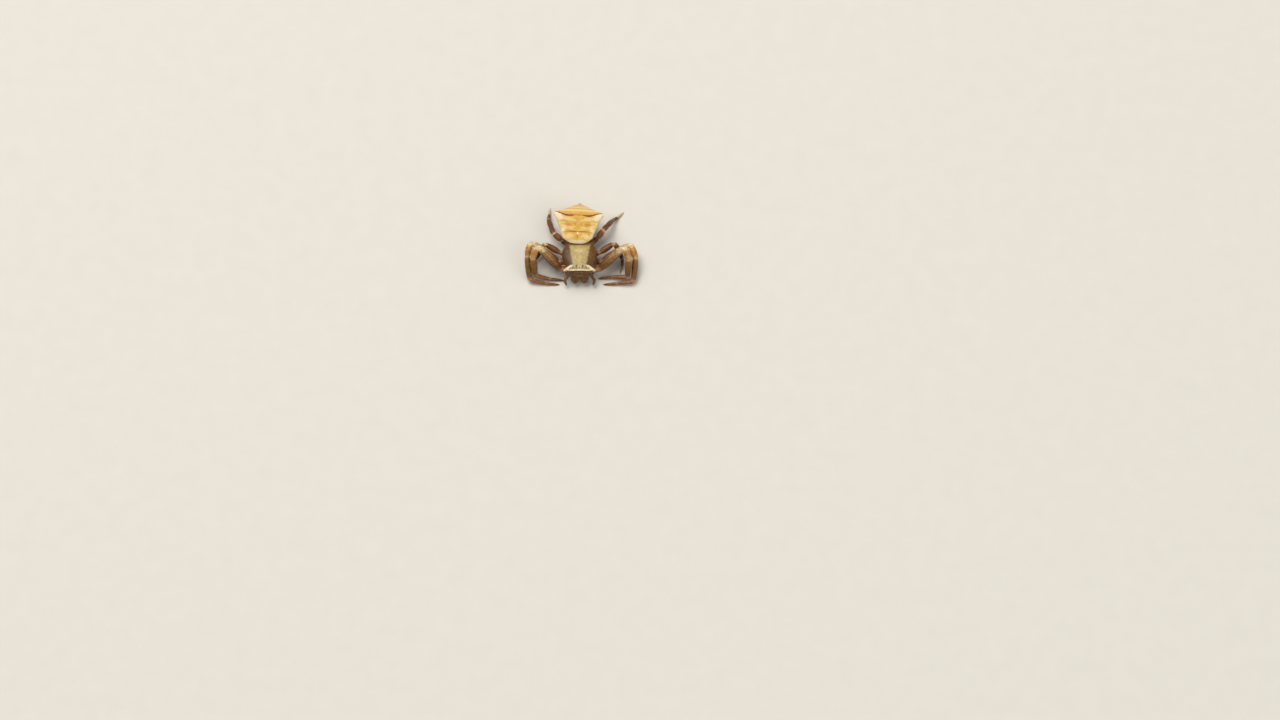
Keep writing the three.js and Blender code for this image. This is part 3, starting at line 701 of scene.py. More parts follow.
def fang(side):
    """The curved fang folded across the end of a jaw."""
    t = np.linspace(0, 1, 18)
    x = MIDLINE + SIDE_SIGN[side] * (CHELICERA["across"] + FANG["outward"] - FANG["across"] * t)
    y = FANG["y"] + FANG["back"] * t
    z = FANG["z"] - FANG["drop"] * np.sin(np.pi * np.minimum(t * 1.1, 1))
    radii = FANG["radius"] * (1 - t) ** 0.7 + FANG["tip_radius"]
    return loft(f"fang_{side}", tube_rings(np.stack([x, y, z], -1), radii, 14)[0])


def palp_skin(side):
    """One palp, drawn in a little at its joints."""
    joints = [(MIDLINE + SIDE_SIGN[side] * x, y, z) for x, y, z in PALP["joints"]]
    corners, marks = jointed_line(joints, [PALP["bend"]] * len(joints))
    line, places = evenly(corners, PALP["step"])
    radii = track(PALP["radius"])(places / places[-1])
    for mark in marks[1:-1] + [marks[-1] * PALP["last_joint"]]:
        radii = radii * (1 - PALP["fold"] * bump(places - mark, PALP["fold_width"]))
    rings, _, tangents = tube_rings(line, radii, PALP["sides"])
    around = np.arange(PALP["sides"]) / PALP["sides"]
    place = own_place(*HEAD_PATCHES[f"palp_{side}"], around[None, :], places[:, None] / 4)
    lie = np.broadcast_to(tangents[:, None, :], rings.shape)
    return loft(f"palp_{side}_skin", rings, (0.02, radii[-1] * 0.9), root_place=place, lie=lie)


def waist():
    """The ringed waist between head and abdomen."""
    ys = np.linspace(PEDICEL["from"], PEDICEL["to"], 24)
    line = np.stack(np.broadcast_arrays(MIDLINE, ys, PEDICEL["z"]), -1)
    radii = PEDICEL["radius"] * (1 + 0.08 * np.sin(ys * 60))
    return loft("pedicel_skin", tube_rings(line, radii, 24)[0])


def spinnerets():
    """Six soft cones in a ring round a low mound, at the rear end."""
    parts = [ball("mound", (0, 0, 0), (SPINNERET["mound"],) * 3, 24)]
    t = np.linspace(0, 1, 16)
    radii = SPINNERET["radius"] * np.sqrt(np.clip(1 - t ** 3, 0.02, 1)) * (1 - 0.25 * t)
    for i in range(SPINNERET["count"]):
        angle = 2 * np.pi * i / SPINNERET["count"]
        inward = SPINNERET["ring"] * (1 - SPINNERET["lean"] * t)
        line = np.stack([inward * math.cos(angle), t * SPINNERET["length"], inward * math.sin(angle)], -1)
        parts.append(loft("cone", tube_rings(line, radii, 16)[0]))
    piece = fused("spinnerets_skin", parts, SPINNERET["voxel"], 3)
    points = points_of(piece.data)
    cos, sin = math.cos(-SPINNERET["fall"]), math.sin(-SPINNERET["fall"])
    y = points[:, 1] * cos - points[:, 2] * sin + SPINNERET["y"]
    z = points[:, 1] * sin + points[:, 2] * cos + SPINNERET["z"]
    move_points(piece.data, abdomen_turned(np.stack([points[:, 0], y, z], -1)))
    return piece


# Nodes of materials and of coats.
def socket(tree, name):
    """The socket of that name in a tree's interface."""
    return next(item for item in tree.interface.items_tree
                if item.item_type == "SOCKET" and item.name == name)


def feed(tree, source, target):
    """Links a socket to another, or sets it to a plain value."""
    if isinstance(source, bpy.types.NodeSocket):
        tree.links.new(source, target)
    elif source is not None:
        target.default_value = source


def node(tree, kind, inputs=(), **settings):
    """A new node with its settings made and its inputs fed."""
    made = tree.nodes.new(kind)
    for key, value in settings.items():
        setattr(made, key, value)
    for key, value in dict(inputs).items():
        feed(tree, value, made.inputs[key])
    return made


def maths(tree, operation, *values):
    """A sum on one or two numbers."""
    made = node(tree, "ShaderNodeMath", operation=operation)
    for value, target in zip(values, made.inputs):
        feed(tree, value, target)
    return made.outputs[0]


def plus(tree, first, second):
    return maths(tree, "ADD", first, second)


def minus(tree, first, second):
    return maths(tree, "SUBTRACT", first, second)


def times(tree, first, second):
    return maths(tree, "MULTIPLY", first, second)


def vector_math(tree, operation, first, second):
    """A sum on two vectors, or on a vector and the number that it is scaled by."""
    made = node(tree, "ShaderNodeVectorMath", operation=operation)
    feed(tree, first, made.inputs[0])
    feed(tree, second, made.inputs["Scale"] if operation == "SCALE" else made.inputs[1])
    return made.outputs[0]


def axes_of(tree, vector):
    return node(tree, "ShaderNodeSeparateXYZ", {0: vector}).outputs


def vector_of(tree, x=0.0, y=0.0, z=0.0):
    return node(tree, "ShaderNodeCombineXYZ", {"X": x, "Y": y, "Z": z}).outputs[0]


def blend(tree, factor, first, second, mode="MIX"):
    """The second colour over the first, as much as the factor says."""
    made = node(tree, "ShaderNodeMix", data_type="RGBA", blend_type=mode)
    feed(tree, factor, made.inputs[0])
    feed(tree, first, made.inputs[6])
    feed(tree, second, made.inputs[7])
    return made.outputs[2]


def veil(tree, colour, mask, strength, over):
    """A second colour laid over the first inside a mask, at part of its strength."""
    return blend(tree, times(tree, mask, strength), colour, over)


def smooth_step(tree, value, low, high):
    """0 up to low and 1 from high on, with a soft change between. High may be the smaller."""
    made = node(tree, "ShaderNodeMapRange", interpolation_type="SMOOTHSTEP")
    for source, target in zip((value, low, high), made.inputs):
        feed(tree, source, target)
    return made.outputs[0]


def ramp(tree, factor, stops):
    """A colour for every factor, from stops of a place and a colour."""
    made = node(tree, "ShaderNodeValToRGB", {0: factor})
    band = made.color_ramp
    while len(band.elements) < len(stops):
        band.elements.new(0.5)
    for element, (position, colour) in zip(band.elements, stops):
        element.position = position
        element.color = colour
    return made.outputs[0]


def tone(red, green, blue):
    """A colour given in display values from 0 to 255."""
    def linear(value):
        share = value / 255
        return share / 12.92 if share <= 0.04045 else ((share + 0.055) / 1.055) ** 2.4
    return (linear(red), linear(green), linear(blue), 1)


def new_tree(name, kind, inputs, outputs):
    """An empty tree with named inputs and outputs, and the sockets to draw from and to fill."""
    tree = bpy.data.node_groups.new(name, kind)
    for title, socket_type, value in inputs:
        made = tree.interface.new_socket(title, in_out="INPUT", socket_type=socket_type)
        if value is not None:
            made.default_value = value
    for title, socket_type in outputs:
        tree.interface.new_socket(title, in_out="OUTPUT", socket_type=socket_type)
    return tree, tree.nodes.new("NodeGroupInput").outputs, tree.nodes.new("NodeGroupOutput").inputs


def placed_group(tree, shared, **inputs):
    """A shared group put into a material with its own values."""
    made = node(tree, "ShaderNodeGroup", node_tree=shared)
    for key, value in inputs.items():
        feed(tree, value, made.inputs[key])
    return made.outputs


def oval_group():
    """A mask of one soft-edged oval mark, turned about its middle."""
    tree, given, out = new_tree("soft_oval", "ShaderNodeTree", [
        ("Place", "NodeSocketVector", None), ("Middle", "NodeSocketVector", None),
        ("Size", "NodeSocketVector", (1, 1, 1)), ("Turn", "NodeSocketFloat", 0.0),
        ("Edge", "NodeSocketFloat", 0.3),
    ], [("Mask", "NodeSocketFloat")])
    away = vector_math(tree, "SUBTRACT", given["Place"], given["Middle"])
    turned = node(tree, "ShaderNodeVectorRotate", {"Vector": away, "Angle": given["Turn"]},
                  rotation_type="Z_AXIS").outputs[0]
    shaped = vector_math(tree, "DIVIDE", turned, given["Size"])
    length = node(tree, "ShaderNodeVectorMath", {0: shaped}, operation="LENGTH").outputs["Value"]
    outside = smooth_step(tree, length, minus(tree, 1.0, given["Edge"]), plus(tree, 1.0, given["Edge"]))
    feed(tree, minus(tree, 1.0, outside), out["Mask"])
    return tree


def cuticle_group():
    """The fine grain of the skin: a height for its bump, cloudy tones, pale granules, lines between."""
    tree, given, out = new_tree("cuticle", "ShaderNodeTree", [
        ("Place", "NodeSocketVector", None), ("Grain", "NodeSocketFloat", 30.0),
        ("Cloud", "NodeSocketFloat", 5.0), ("Speck", "NodeSocketFloat", 40.0),
    ], [("Height", "NodeSocketFloat"), ("Tone", "NodeSocketFloat"), ("Specks", "NodeSocketFloat"),
        ("Lines", "NodeSocketFloat")])
    grain = node(tree, "ShaderNodeTexNoise", {"Detail": 4.0, "Roughness": 0.6})
    cloud = node(tree, "ShaderNodeTexNoise", {"Detail": 4.0, "Roughness": 0.6})
    cells = node(tree, "ShaderNodeTexVoronoi", feature="F1")
    borders = node(tree, "ShaderNodeTexVoronoi", feature="DISTANCE_TO_EDGE")
    for texture, scale in ((grain, "Grain"), (cloud, "Cloud"), (cells, "Speck"), (borders, "Speck")):
        feed(tree, given["Place"], texture.inputs["Vector"])
        feed(tree, given[scale], texture.inputs["Scale"])
    chance = node(tree, "ShaderNodeSeparateColor", {0: cells.outputs["Color"]}).outputs[0]
    chosen = smooth_step(tree, chance, 0.3, 0.7)
    specks = times(tree, smooth_step(tree, cells.outputs["Distance"], 0.5, 0.2), chosen)
    lines = smooth_step(tree, borders.outputs["Distance"], 0.09, 0.02)
    raised = minus(tree, times(tree, specks, 0.16), times(tree, lines, 0.1))
    feed(tree, plus(tree, grain.outputs[0], raised), out["Height"])
    feed(tree, smooth_step(tree, cloud.outputs[0], 0.34, 0.66), out["Tone"])
    feed(tree, specks, out["Specks"])
    feed(tree, lines, out["Lines"])
    return tree


def material(name):
    """A new material, its tree and its shader."""
    made = bpy.data.materials.new(name)
    made.use_nodes = True
    tree = made.node_tree
    return made, tree, tree.nodes["Principled BSDF"]


def attribute(tree, name, output="Vector"):
    return node(tree, "ShaderNodeAttribute", attribute_type="GEOMETRY", attribute_name=name).outputs[output]


def bench_place(tree):
    """Object coordinates brought back to millimetres."""
    place = node(tree, "ShaderNodeTexCoord").outputs["Object"]
    return node(tree, "ShaderNodeMapping", {"Vector": place, "Scale": (1 / MM,) * 3}).outputs[0]


def wavered(tree, place, scale, amount):
    """The place, stirred so that the marks read there have natural edges."""
    noise = node(tree, "ShaderNodeTexNoise",
                 {"Vector": place, "Scale": scale, "Detail": 4.0, "Roughness": 0.65})
    shift = vector_math(tree, "SUBTRACT", noise.outputs["Color"], (0.5, 0.5, 0.5))
    return vector_math(tree, "ADD", place, vector_math(tree, "SCALE", shift, amount))


def mirrored(tree, place):
    """The same place with both sides folded onto one, then its distance across, along and up."""
    axes = axes_of(tree, place)
    across = maths(tree, "ABSOLUTE", axes[0])
    return vector_of(tree, across, axes[1], axes[2]), across, axes[1], axes[2]


def streaks(tree, place, scale, detail):
    """Noise drawn out along an axis."""
    stretched = node(tree, "ShaderNodeMapping", {"Vector": place, "Scale": scale}).outputs[0]
    noise = node(tree, "ShaderNodeTexNoise", {"Vector": stretched, "Scale": 1.0, "Detail": detail})
    return noise.outputs[0]


def relief(tree, shader, height, strength, depth):
    """The bump of the skin, its depth in millimetres."""
    made = node(tree, "ShaderNodeBump", {"Strength": strength, "Distance": depth * MM, "Height": height})
    tree.links.new(made.outputs[0], shader.inputs["Normal"])


def soft_skin(shader, weight, glow_depth, roughness):
    """Light that goes a little way into the skin, and its sheen."""
    shader.inputs["Subsurface Weight"].default_value = weight
    shader.inputs["Subsurface Radius"].default_value = (1.0, 0.55, 0.25)
    shader.inputs["Subsurface Scale"].default_value = glow_depth * MM
    shader.inputs["Roughness"].default_value = roughness
    shader.inputs["Specular IOR Level"].default_value = 0.4


CREAM = tone(232, 206, 142)
WHITE = tone(244, 226, 192)
OCHRE = tone(206, 158, 54)
GOLD = tone(222, 180, 78)
ORANGE = tone(196, 112, 36)
CRIMSON = tone(122, 20, 20)
BACK_NET = tone(178, 130, 58)
FLANK = (tone(206, 170, 92), tone(178, 136, 66))
FLANK_FOLD = tone(148, 100, 44)
# Painted shade in a narrow line just under the abdomen's rim.
PAINTED_RIM_SHADE = tone(84, 42, 16)
BELLY = tone(150, 112, 62)
# Markings on the back of the abdomen, alike on both sides: middle, size, turn and edge in the
# abdomen's own millimetres, then colour and strength. Later ones lie over earlier ones.
BACK_MARKS = [
    ((0.66, 1.29), (0.38, 0.1), 0.16, 0.5, CREAM, 0.9),
    ((0.26, 1.22), (0.2, 0.06), 0.3, 0.5, CREAM, 0.6),
    ((0.9, 1.08), (0.14, 0.05), 0.3, 0.5, CREAM, 0.5),
    ((0.84, 0.8), (0.2, 0.1), 0.5, 0.5, CREAM, 0.9),
    ((0.4, 0.76), (0.24, 0.055), -0.2, 0.6, CREAM, 0.7),
    ((0.3, 0.64), (0.16, 0.04), 0.2, 0.6, CREAM, 0.5),
    ((0.58, 0.95), (0.18, 0.075), 0.1, 0.6, ORANGE, 0.75),
    ((0.22, 0.99), (0.1, 0.06), 0.0, 0.7, ORANGE, 0.4),
    ((0.34, 0.52), (0.44, 0.05), 0.0, 0.5, ORANGE, 0.9),
    ((0.3, 0.53), (0.3, 0.026), 0.0, 0.6, CRIMSON, 0.4),
    ((0.0, 0.2), (0.035, 0.22), 0.0, 0.6, ORANGE, 0.75),
    ((0.3, 0.26), (0.06, 0.16), -0.4, 0.6, CREAM, 0.7),
    ((0.56, 0.22), (0.22, 0.15), -0.45, 0.5, CREAM, 0.95),
    ((0.28, -0.1), (0.4, 0.13), 0.0, 0.4, WHITE, 0.85),
    ((0.0, 0.43), (0.065, 0.065), 0.0, 0.35, WHITE, 1.0),
    ((1.3, 1.5), (0.36, 0.16), 0.5, 0.5, WHITE, 1.0),
    ((0.3, 1.63), (0.62, 0.04), 0.08, 0.6, ORANGE, 0.45),
    ((0.2, 1.54), (0.34, 0.036), 0.0, 0.6, ORANGE, 0.9),
    ((0.44, 1.515), (0.17, 0.05), -0.08, 0.35, CRIMSON, 1.0),
    ((0.72, 1.52), (0.2, 0.066), 0.14, 0.35, CRIMSON, 1.0),
    ((0.97, 1.59), (0.18, 0.052), 0.34, 0.35, CRIMSON, 1.0),
    ((1.2, 1.675), (0.17, 0.04), 0.36, 0.35, CRIMSON, 0.95),
    ((1.4, 1.735), (0.13, 0.028), 0.2, 0.35, CRIMSON, 0.85),
]
MARK_HEIGHT = 1.8
MARK_DEPTH = 10.0  # the marks are read from above, so height hardly counts
# The bands of the abdomen's rear slope, from its ridge to its tip.
TAIL_BANDS = [
    (0.0, (206, 146, 60)), (0.08, (216, 170, 76)), (0.16, (236, 208, 146)), (0.3, (234, 204, 138)),
    (0.38, (206, 146, 66)), (0.44, (224, 186, 104)), (0.52, (236, 210, 150)), (0.6, (228, 192, 124)),
    (0.75, (222, 180, 126)), (1.0, (210, 160, 114)),
]
TAIL_BANDS_FROM = 1.7


def abdomen_finish(oval, cuticle):
    """Cream and ochre with orange and crimson marks above, bands behind, brown flanks with a line of painted
    shade under the rim, and belly.
    """
    made, tree, shader = material("abdomen_cuticle")
    plan = attribute(tree, "plan")
    wall = attribute(tree, "wall", "Fac")
    place, across, along, _ = mirrored(tree, wavered(tree, plan, 9.0, 0.11))
    skin = placed_group(tree, cuticle, Place=plan, Grain=26.0, Cloud=5.0, Speck=25.0)

    # The back: ground colours, a pale rim broken by dashes, then the marks.
    half_width = plus(tree, times(tree, along, 0.38), 0.86)
    outer = maths(tree, "DIVIDE", across, half_width)
    near_rim = smooth_step(tree, outer, 0.6, 0.78)
    dashes = streaks(tree, place, (2.5, 15, 3), 2.0)
    colour = blend(tree, skin["Tone"], OCHRE, GOLD)
    colour = veil(tree, colour, skin["Specks"], 0.5, CREAM)
    colour = blend(tree, smooth_step(tree, outer, 0.74, 0.93), colour, CREAM)
    colour = veil(tree, colour, times(tree, smooth_step(tree, dashes, 0.5, 0.62), near_rim), 0.9, WHITE)
    colour = veil(tree, colour, times(tree, smooth_step(tree, dashes, 0.48, 0.38), near_rim), 0.55, OCHRE)
    for middle, size, turn, edge, mark, strength in BACK_MARKS:
        mask = placed_group(tree, oval, Place=place, Middle=(*middle, MARK_HEIGHT), Size=(*size, MARK_DEPTH),
                            Turn=-turn, Edge=edge)["Mask"]
        colour = veil(tree, colour, mask, strength, mark)

    # The rear slope.
    down_slope = minus(tree, along, TAIL_BANDS_FROM)
    bands = ramp(tree, down_slope, [(stop, tone(*shade)) for stop, shade in TAIL_BANDS])
    bands = veil(tree, bands, skin["Specks"], 0.14, WHITE)
    colour = blend(tree, smooth_step(tree, along, 1.72, 1.8), colour, bands)
    colour = veil(tree, colour, skin["Lines"], 0.12, BACK_NET)

    # The flanks, with a line of painted shade under the rim, and the belly.
    folds = streaks(tree, place, (3, 14, 2), 3.0)
    flank = blend(tree, skin["Tone"], *FLANK)
    flank = veil(tree, flank, skin["Specks"], 0.2, CREAM)
    flank = veil(tree, flank, smooth_step(tree, folds, 0.5, 0.66), 0.5, FLANK_FOLD)
    sides = times(tree, smooth_step(tree, wall, 0.0, -0.2), smooth_step(tree, along, 0.0, 0.35))
    colour = blend(tree, sides, colour, flank)
    # A narrow line of painted shade just under the rim.
    line = times(tree, smooth_step(tree, wall, -0.06, -0.13), smooth_step(tree, wall, -0.33, -0.22))
    line = times(tree, line, smooth_step(tree, along, 1.72, 1.5))
    colour = veil(tree, colour, line, 0.9, PAINTED_RIM_SHADE)
    colour = blend(tree, smooth_step(tree, wall, -0.7, -0.95), colour, BELLY)
    feed(tree, colour, shader.inputs["Base Color"])
    relief(tree, shader, skin["Height"], 0.7, 0.02)
    soft_skin(shader, 0.15, 0.1, 0.5)
    return made


# The colours of the head. Pairs are the two tones of a cloudy ground.
PALE_BAND = (tone(186, 164, 108), tone(166, 142, 86))
PALE_STREAK = tone(140, 114, 62)
DARK_BAND = (tone(74, 46, 14), tone(100, 66, 22))
DARK_STREAK = tone(128, 92, 40)
# Painted shadow of the abdomen on the rear slope of the head.
PAINTED_ABDOMEN_SHADOW = tone(142, 98, 36)
IVORY = (tone(236, 222, 188), tone(216, 198, 154))
OLIVE = (tone(196, 180, 142), tone(128, 102, 64))
DARK_FACE = (tone(76, 44, 14), tone(112, 72, 26))
LIP = tone(96, 30, 14)
EYE_RING = tone(184, 150, 98)
UNDERSIDE = tone(136, 100, 50)
# Soft marks of the head: middle, size, edge, strength and colour.
# A painted highlight on the middle of the shield.
PAINTED_HEAD_HIGHLIGHT = ((0.0, -0.6, 1.5), (0.3, 0.13, 10), 0.7, 0.6, tone(208, 190, 134))
HEAD_LINE = ((0.0, -1.2, 1.5), (0.07, 0.34, 10), 0.8, 0.3, tone(206, 188, 134))
HORN_TIP = ((1.0, -1.94, 1.41), (0.15, 0.17, 0.26), 0.5, 0.75, tone(224, 170, 138))
LOWER_FACE = ((0.0, -2.1, 0.95), (0.34, 0.5, 0.1), 0.6, 0.5, tone(150, 108, 48))


def head_finish(oval, cuticle, eyes):
    """A pale band between dark ones with a painted highlight in its middle and the painted shadow of the
    abdomen behind, the ivory field round the eyes, pink horn tips, a dark face.
    """
    made, tree, shader = material("head_cuticle")
    plan = attribute(tree, "plan")
    folded, across, along, height = mirrored(tree, plan)
    stirred = mirrored(tree, wavered(tree, plan, 6.0, 0.14))[1]
    skin = placed_group(tree, cuticle, Place=plan, Grain=34.0, Cloud=6.0, Speck=34.0)

    def oval_mask(middle, size, edge):
        return placed_group(tree, oval, Place=folded, Middle=middle, Size=size, Turn=0.0, Edge=edge)["Mask"]

    def marked(colour, mark):
        middle, size, edge, strength, over = mark
        return veil(tree, colour, oval_mask(middle, size, edge), strength, over)

    # The pale middle band between two dark ones.
    edge = plus(tree, stirred, times(tree, plus(tree, along, 0.9), -0.175))
    rays = streaks(tree, plan, (14, 3, 3), 3.0)
    pale = blend(tree, skin["Tone"], *PALE_BAND)
    pale = veil(tree, pale, smooth_step(tree, rays, 0.52, 0.66), 0.35, PALE_STREAK)
    dark = blend(tree, skin["Tone"], *DARK_BAND)
    dark = veil(tree, dark, smooth_step(tree, rays, 0.5, 0.68), 0.5, DARK_STREAK)
    colour = blend(tree, smooth_step(tree, edge, 0.45, 0.62), pale, dark)
    # A painted highlight on the middle of the shield, then a pale line along the middle.
    colour = marked(marked(colour, PAINTED_HEAD_HIGHLIGHT), HEAD_LINE)
    # Painted shadow of the abdomen over the rear slope of the head.
    colour = veil(tree, colour, smooth_step(tree, along, -0.3, 0.05), 0.6, PAINTED_ABDOMEN_SHADOW)

    # The ivory field round the eyes, which widens forward, with dark streaks that fan out.
    flare = plus(tree, times(tree, minus(tree, -1.57, along), 1.25), 0.55)
    past = minus(tree, across, flare)
    field = times(tree, smooth_step(tree, height, 1.19, 1.27), smooth_step(tree, along, -1.54, -1.6))
    field = times(tree, smooth_step(tree, past, 0.05, -0.01), field)
    fanned = maths(tree, "DIVIDE", across, plus(tree, flare, 0.3))
    fan = vector_of(tree, times(tree, fanned, 22.0), times(tree, along, 2.0))
    fine = node(tree, "ShaderNodeTexNoise", {"Vector": fan, "Scale": 1.0, "Detail": 2.0}).outputs[0]
    streaked = times(tree, smooth_step(tree, past, -0.12, -0.24), smooth_step(tree, along, -1.9, -1.78))
    ivory = blend(tree, skin["Tone"], *IVORY)
    olive = blend(tree, smooth_step(tree, fine, 0.42, 0.6), *OLIVE)
    colour = blend(tree, field, colour, blend(tree, streaked, ivory, olive))
    colour = marked(colour, HORN_TIP)

    # The dark face below a red line, with a pale ring round each eye.
    horn_mask = oval_mask((1.02, -1.95, 1.42), (0.2, 0.2, 0.15), 0.3)
    face = times(tree, smooth_step(tree, along, -1.925, -1.95), minus(tree, 1.0, horn_mask))
    face_tone = marked(blend(tree, skin["Tone"], *DARK_FACE), LOWER_FACE)
    colour = blend(tree, face, colour, face_tone)
    colour = veil(tree, colour, times(tree, face, smooth_step(tree, along, -1.985, -1.955)), 0.85, LIP)
    for middle, radius in eyes:
        ring = ((abs(middle[0] - MIDLINE), middle[1], middle[2]), (radius * 1.4,) * 3, 0.25, 0.4, EYE_RING)
        colour = marked(colour, ring)
    colour = blend(tree, smooth_step(tree, height, 0.9, 0.8), colour, UNDERSIDE)
    feed(tree, colour, shader.inputs["Base Color"])
    relief(tree, shader, skin["Height"], 0.5, 0.011)
    soft_skin(shader, 0.08, 0.08, 0.42)
    return made


# The colour along a leg: segment place (0 coxa, 1 femur, 2 patella, 3 tibia, 4 metatarsus, 5 tarsus).
# The lighter pinkish stops on the far part of the femur, at 1.6 and 1.76, are a painted highlight.
FRONT_LEG_BANDS = [
    (0.0, (186, 158, 82)), (0.55, (186, 154, 76)), (0.72, (192, 136, 106)), (0.8, (128, 66, 42)),
    (1.02, (200, 150, 112)), (1.09, (104, 66, 24)), (1.4, (132, 94, 44)), (1.6, (166, 126, 84)),
    (1.76, (176, 140, 90)), (1.86, (224, 202, 148)), (2.0, (250, 236, 198)), (2.16, (240, 220, 168)),
    (2.34, (204, 152, 84)), (2.7, (186, 132, 64)), (2.9, (196, 156, 88)), (3.0, (222, 190, 126)),
    (3.1, (148, 104, 42)), (3.5, (128, 90, 32)), (3.86, (122, 82, 32)), (3.97, (196, 146, 108)),
    (4.1, (158, 104, 64)), (4.5, (150, 96, 54)), (4.9, (140, 92, 44)), (5.0, (176, 132, 88)),
    (5.1, (140, 96, 46)), (5.8, (124, 84, 36)), (6.0, (84, 52, 26)),
]
THIRD_LEG_BANDS = [
    (0.0, (186, 158, 82)), (0.7, (190, 160, 78)), (0.85, (150, 96, 50)), (1.0, (196, 154, 106)),
    (1.12, (140, 98, 48)), (1.5, (122, 76, 38)), (1.84, (112, 64, 32)), (1.97, (232, 208, 164)),
    (2.08, (168, 112, 70)), (2.5, (124, 76, 34)), (3.0, (160, 112, 68)), (3.1, (104, 58, 24)),
    (3.9, (94, 50, 20)), (4.0, (156, 110, 66)), (4.1, (98, 54, 20)), (4.9, (102, 60, 26)),
    (5.0, (178, 146, 88)), (6.0, (182, 152, 90)),
]
REAR_LEG_BANDS = [
    (0.0, (176, 140, 72)), (0.6, (150, 104, 50)), (0.74, (98, 60, 20)), (0.92, (90, 52, 16)),
    (1.0, (236, 204, 172)), (1.09, (176, 120, 84)), (1.5, (172, 118, 78)), (1.86, (160, 106, 70)),
    (1.97, (230, 198, 166)), (2.07, (150, 94, 60)), (2.2, (116, 68, 30)), (2.95, (110, 62, 26)),
    (3.05, (106, 60, 26)), (3.88, (104, 58, 24)), (3.98, (232, 198, 168)), (4.08, (122, 72, 34)),
    (4.85, (104, 60, 24)), (4.96, (204, 178, 118)), (5.1, (224, 204, 146)), (6.0, (218, 198, 140)),
]
LEG_MOTTLE = (tone(172, 140, 112), tone(255, 252, 240))
LEG_SPECKS = tone(206, 166, 116)
LEG_SHADE = tone(76, 44, 18)
LEG_NET = tone(66, 38, 14)
KNEE = 2.02


def leg_finish(name, bands, cuticle):
    """Bands along a leg, mottled and specked, darker on the lower and front sides except at the knee."""
    made, tree, shader = material(name)
    reach, upper, front = (attribute(tree, key, "Fac") for key in ("reach", "upper", "front"))
    skin = placed_group(tree, cuticle, Place=bench_place(tree), Grain=36.0, Cloud=7.0, Speck=22.0)
    wander = times(tree, minus(tree, skin["Tone"], 0.5), 0.05)
    share = maths(tree, "DIVIDE", plus(tree, reach, wander), len(SEGMENTS))
    colour = ramp(tree, share, [(position / len(SEGMENTS), tone(*shade)) for position, shade in bands])
    colour = blend(tree, 0.7, colour, blend(tree, skin["Tone"], *LEG_MOTTLE), "MULTIPLY")
    colour = veil(tree, colour, skin["Specks"], 0.16, LEG_SPECKS)
    lower = minus(tree, times(tree, front, 0.5), upper)
    off_knee = smooth_step(tree, maths(tree, "ABSOLUTE", minus(tree, reach, KNEE)), 0.1, 0.35)
    shaded = times(tree, smooth_step(tree, lower, 0.0, 0.7), off_knee)
    colour = veil(tree, colour, shaded, 0.6, LEG_SHADE)
    colour = veil(tree, colour, skin["Lines"], 0.14, LEG_NET)
    feed(tree, colour, shader.inputs["Base Color"])
    relief(tree, shader, skin["Height"], 0.55, 0.011)
    soft_skin(shader, 0.12, 0.1, 0.4)
    return made


# Small pieces: their two close tones and their roughness.
PLAIN_FINISHES = {
    "jaw_cuticle": ((78, 46, 16), (116, 78, 30), 0.35),
    "palp_cuticle": ((92, 58, 24), (132, 92, 44), 0.45),
    "waist_cuticle": ((120, 84, 40), (150, 112, 60), 0.45),
    "spinneret_cuticle": ((196, 158, 110), (176, 134, 88), 0.45),
    "fang_horn": ((48, 20, 8), (70, 32, 12), 0.25),
    "bristle_horn": ((150, 112, 66), (196, 164, 112), 0.5),
    "spine_horn": ((120, 78, 36), (160, 116, 62), 0.35),
    "pale_bristle_horn": ((226, 206, 160), (206, 178, 126), 0.5),
}


def plain_finish(name, cuticle):
    """A skin of two close tones, for small pieces."""
    first, second, roughness = PLAIN_FINISHES[name]
    made, tree, shader = material(name)
    skin = placed_group(tree, cuticle, Place=bench_place(tree), Grain=30.0, Cloud=8.0, Speck=34.0)
    feed(tree, blend(tree, skin["Tone"], tone(*first), tone(*second)), shader.inputs["Base Color"])
    relief(tree, shader, skin["Height"], 0.5, 0.01)
    soft_skin(shader, 0.1, 0.1, roughness)
    return made


def eye_finish(cuticle):
    """A dark wet lens."""
    made, tree, shader = material("eye_lens")
    skin = placed_group(tree, cuticle, Place=bench_place(tree), Grain=10.0, Cloud=9.0, Speck=20.0)
    colour = blend(tree, skin["Tone"], tone(22, 12, 8), tone(52, 28, 14))
    feed(tree, colour, shader.inputs["Base Color"])
    shader.inputs["Roughness"].default_value = 0.08
    shader.inputs["Coat Weight"].default_value = 0.6
    return made


def floor_finish():
    """Plain pale paper."""
    made, tree, shader = material("floor_paper")
    place = node(tree, "ShaderNodeTexCoord").outputs["Object"]
    noise = node(tree, "ShaderNodeTexNoise", {"Vector": place, "Scale": 900.0, "Detail": 3.0})
    colour = blend(tree, noise.outputs[0], tone(214, 211, 204), tone(220, 217, 210))
    feed(tree, colour, shader.inputs["Base Color"])
    shader.inputs["Roughness"].default_value = 0.9
    return made


# Bristles and spines.
TUFT_PATCH = 0.003  # how long one bristle is on the unwrap
TUFT_SPREAD = 10  # how much wider than life it lies there
BRISTLE_BOW = 0.3  # how far its tip bends aside, in its own lengths
BRISTLE_WILD = (0.3, 0.3, 0.3)  # how far it may stray from the lie of the coat
BRISTLE_SIZES = (0.55, 1.15)
SPINE_THICKNESS = 0.0095
SPINE_USUAL = 0.17  # the length at which a spine has that thickness


def named(tree, name, data_type="FLOAT_VECTOR"):
    """An attribute that the mesh carries."""
    made = node(tree, "GeometryNodeInputNamedAttribute", {"Name": name}, data_type=data_type)
    return made.outputs["Attribute"]


def stored(tree, geometry, name, value, data_type, domain):
    """The geometry with a value kept on it as an attribute."""
    made = node(tree, "GeometryNodeStoreNamedAttribute", {"Geometry": geometry, "Name": name, "Value": value},
                data_type=data_type, domain=domain)
    return made.outputs[0]


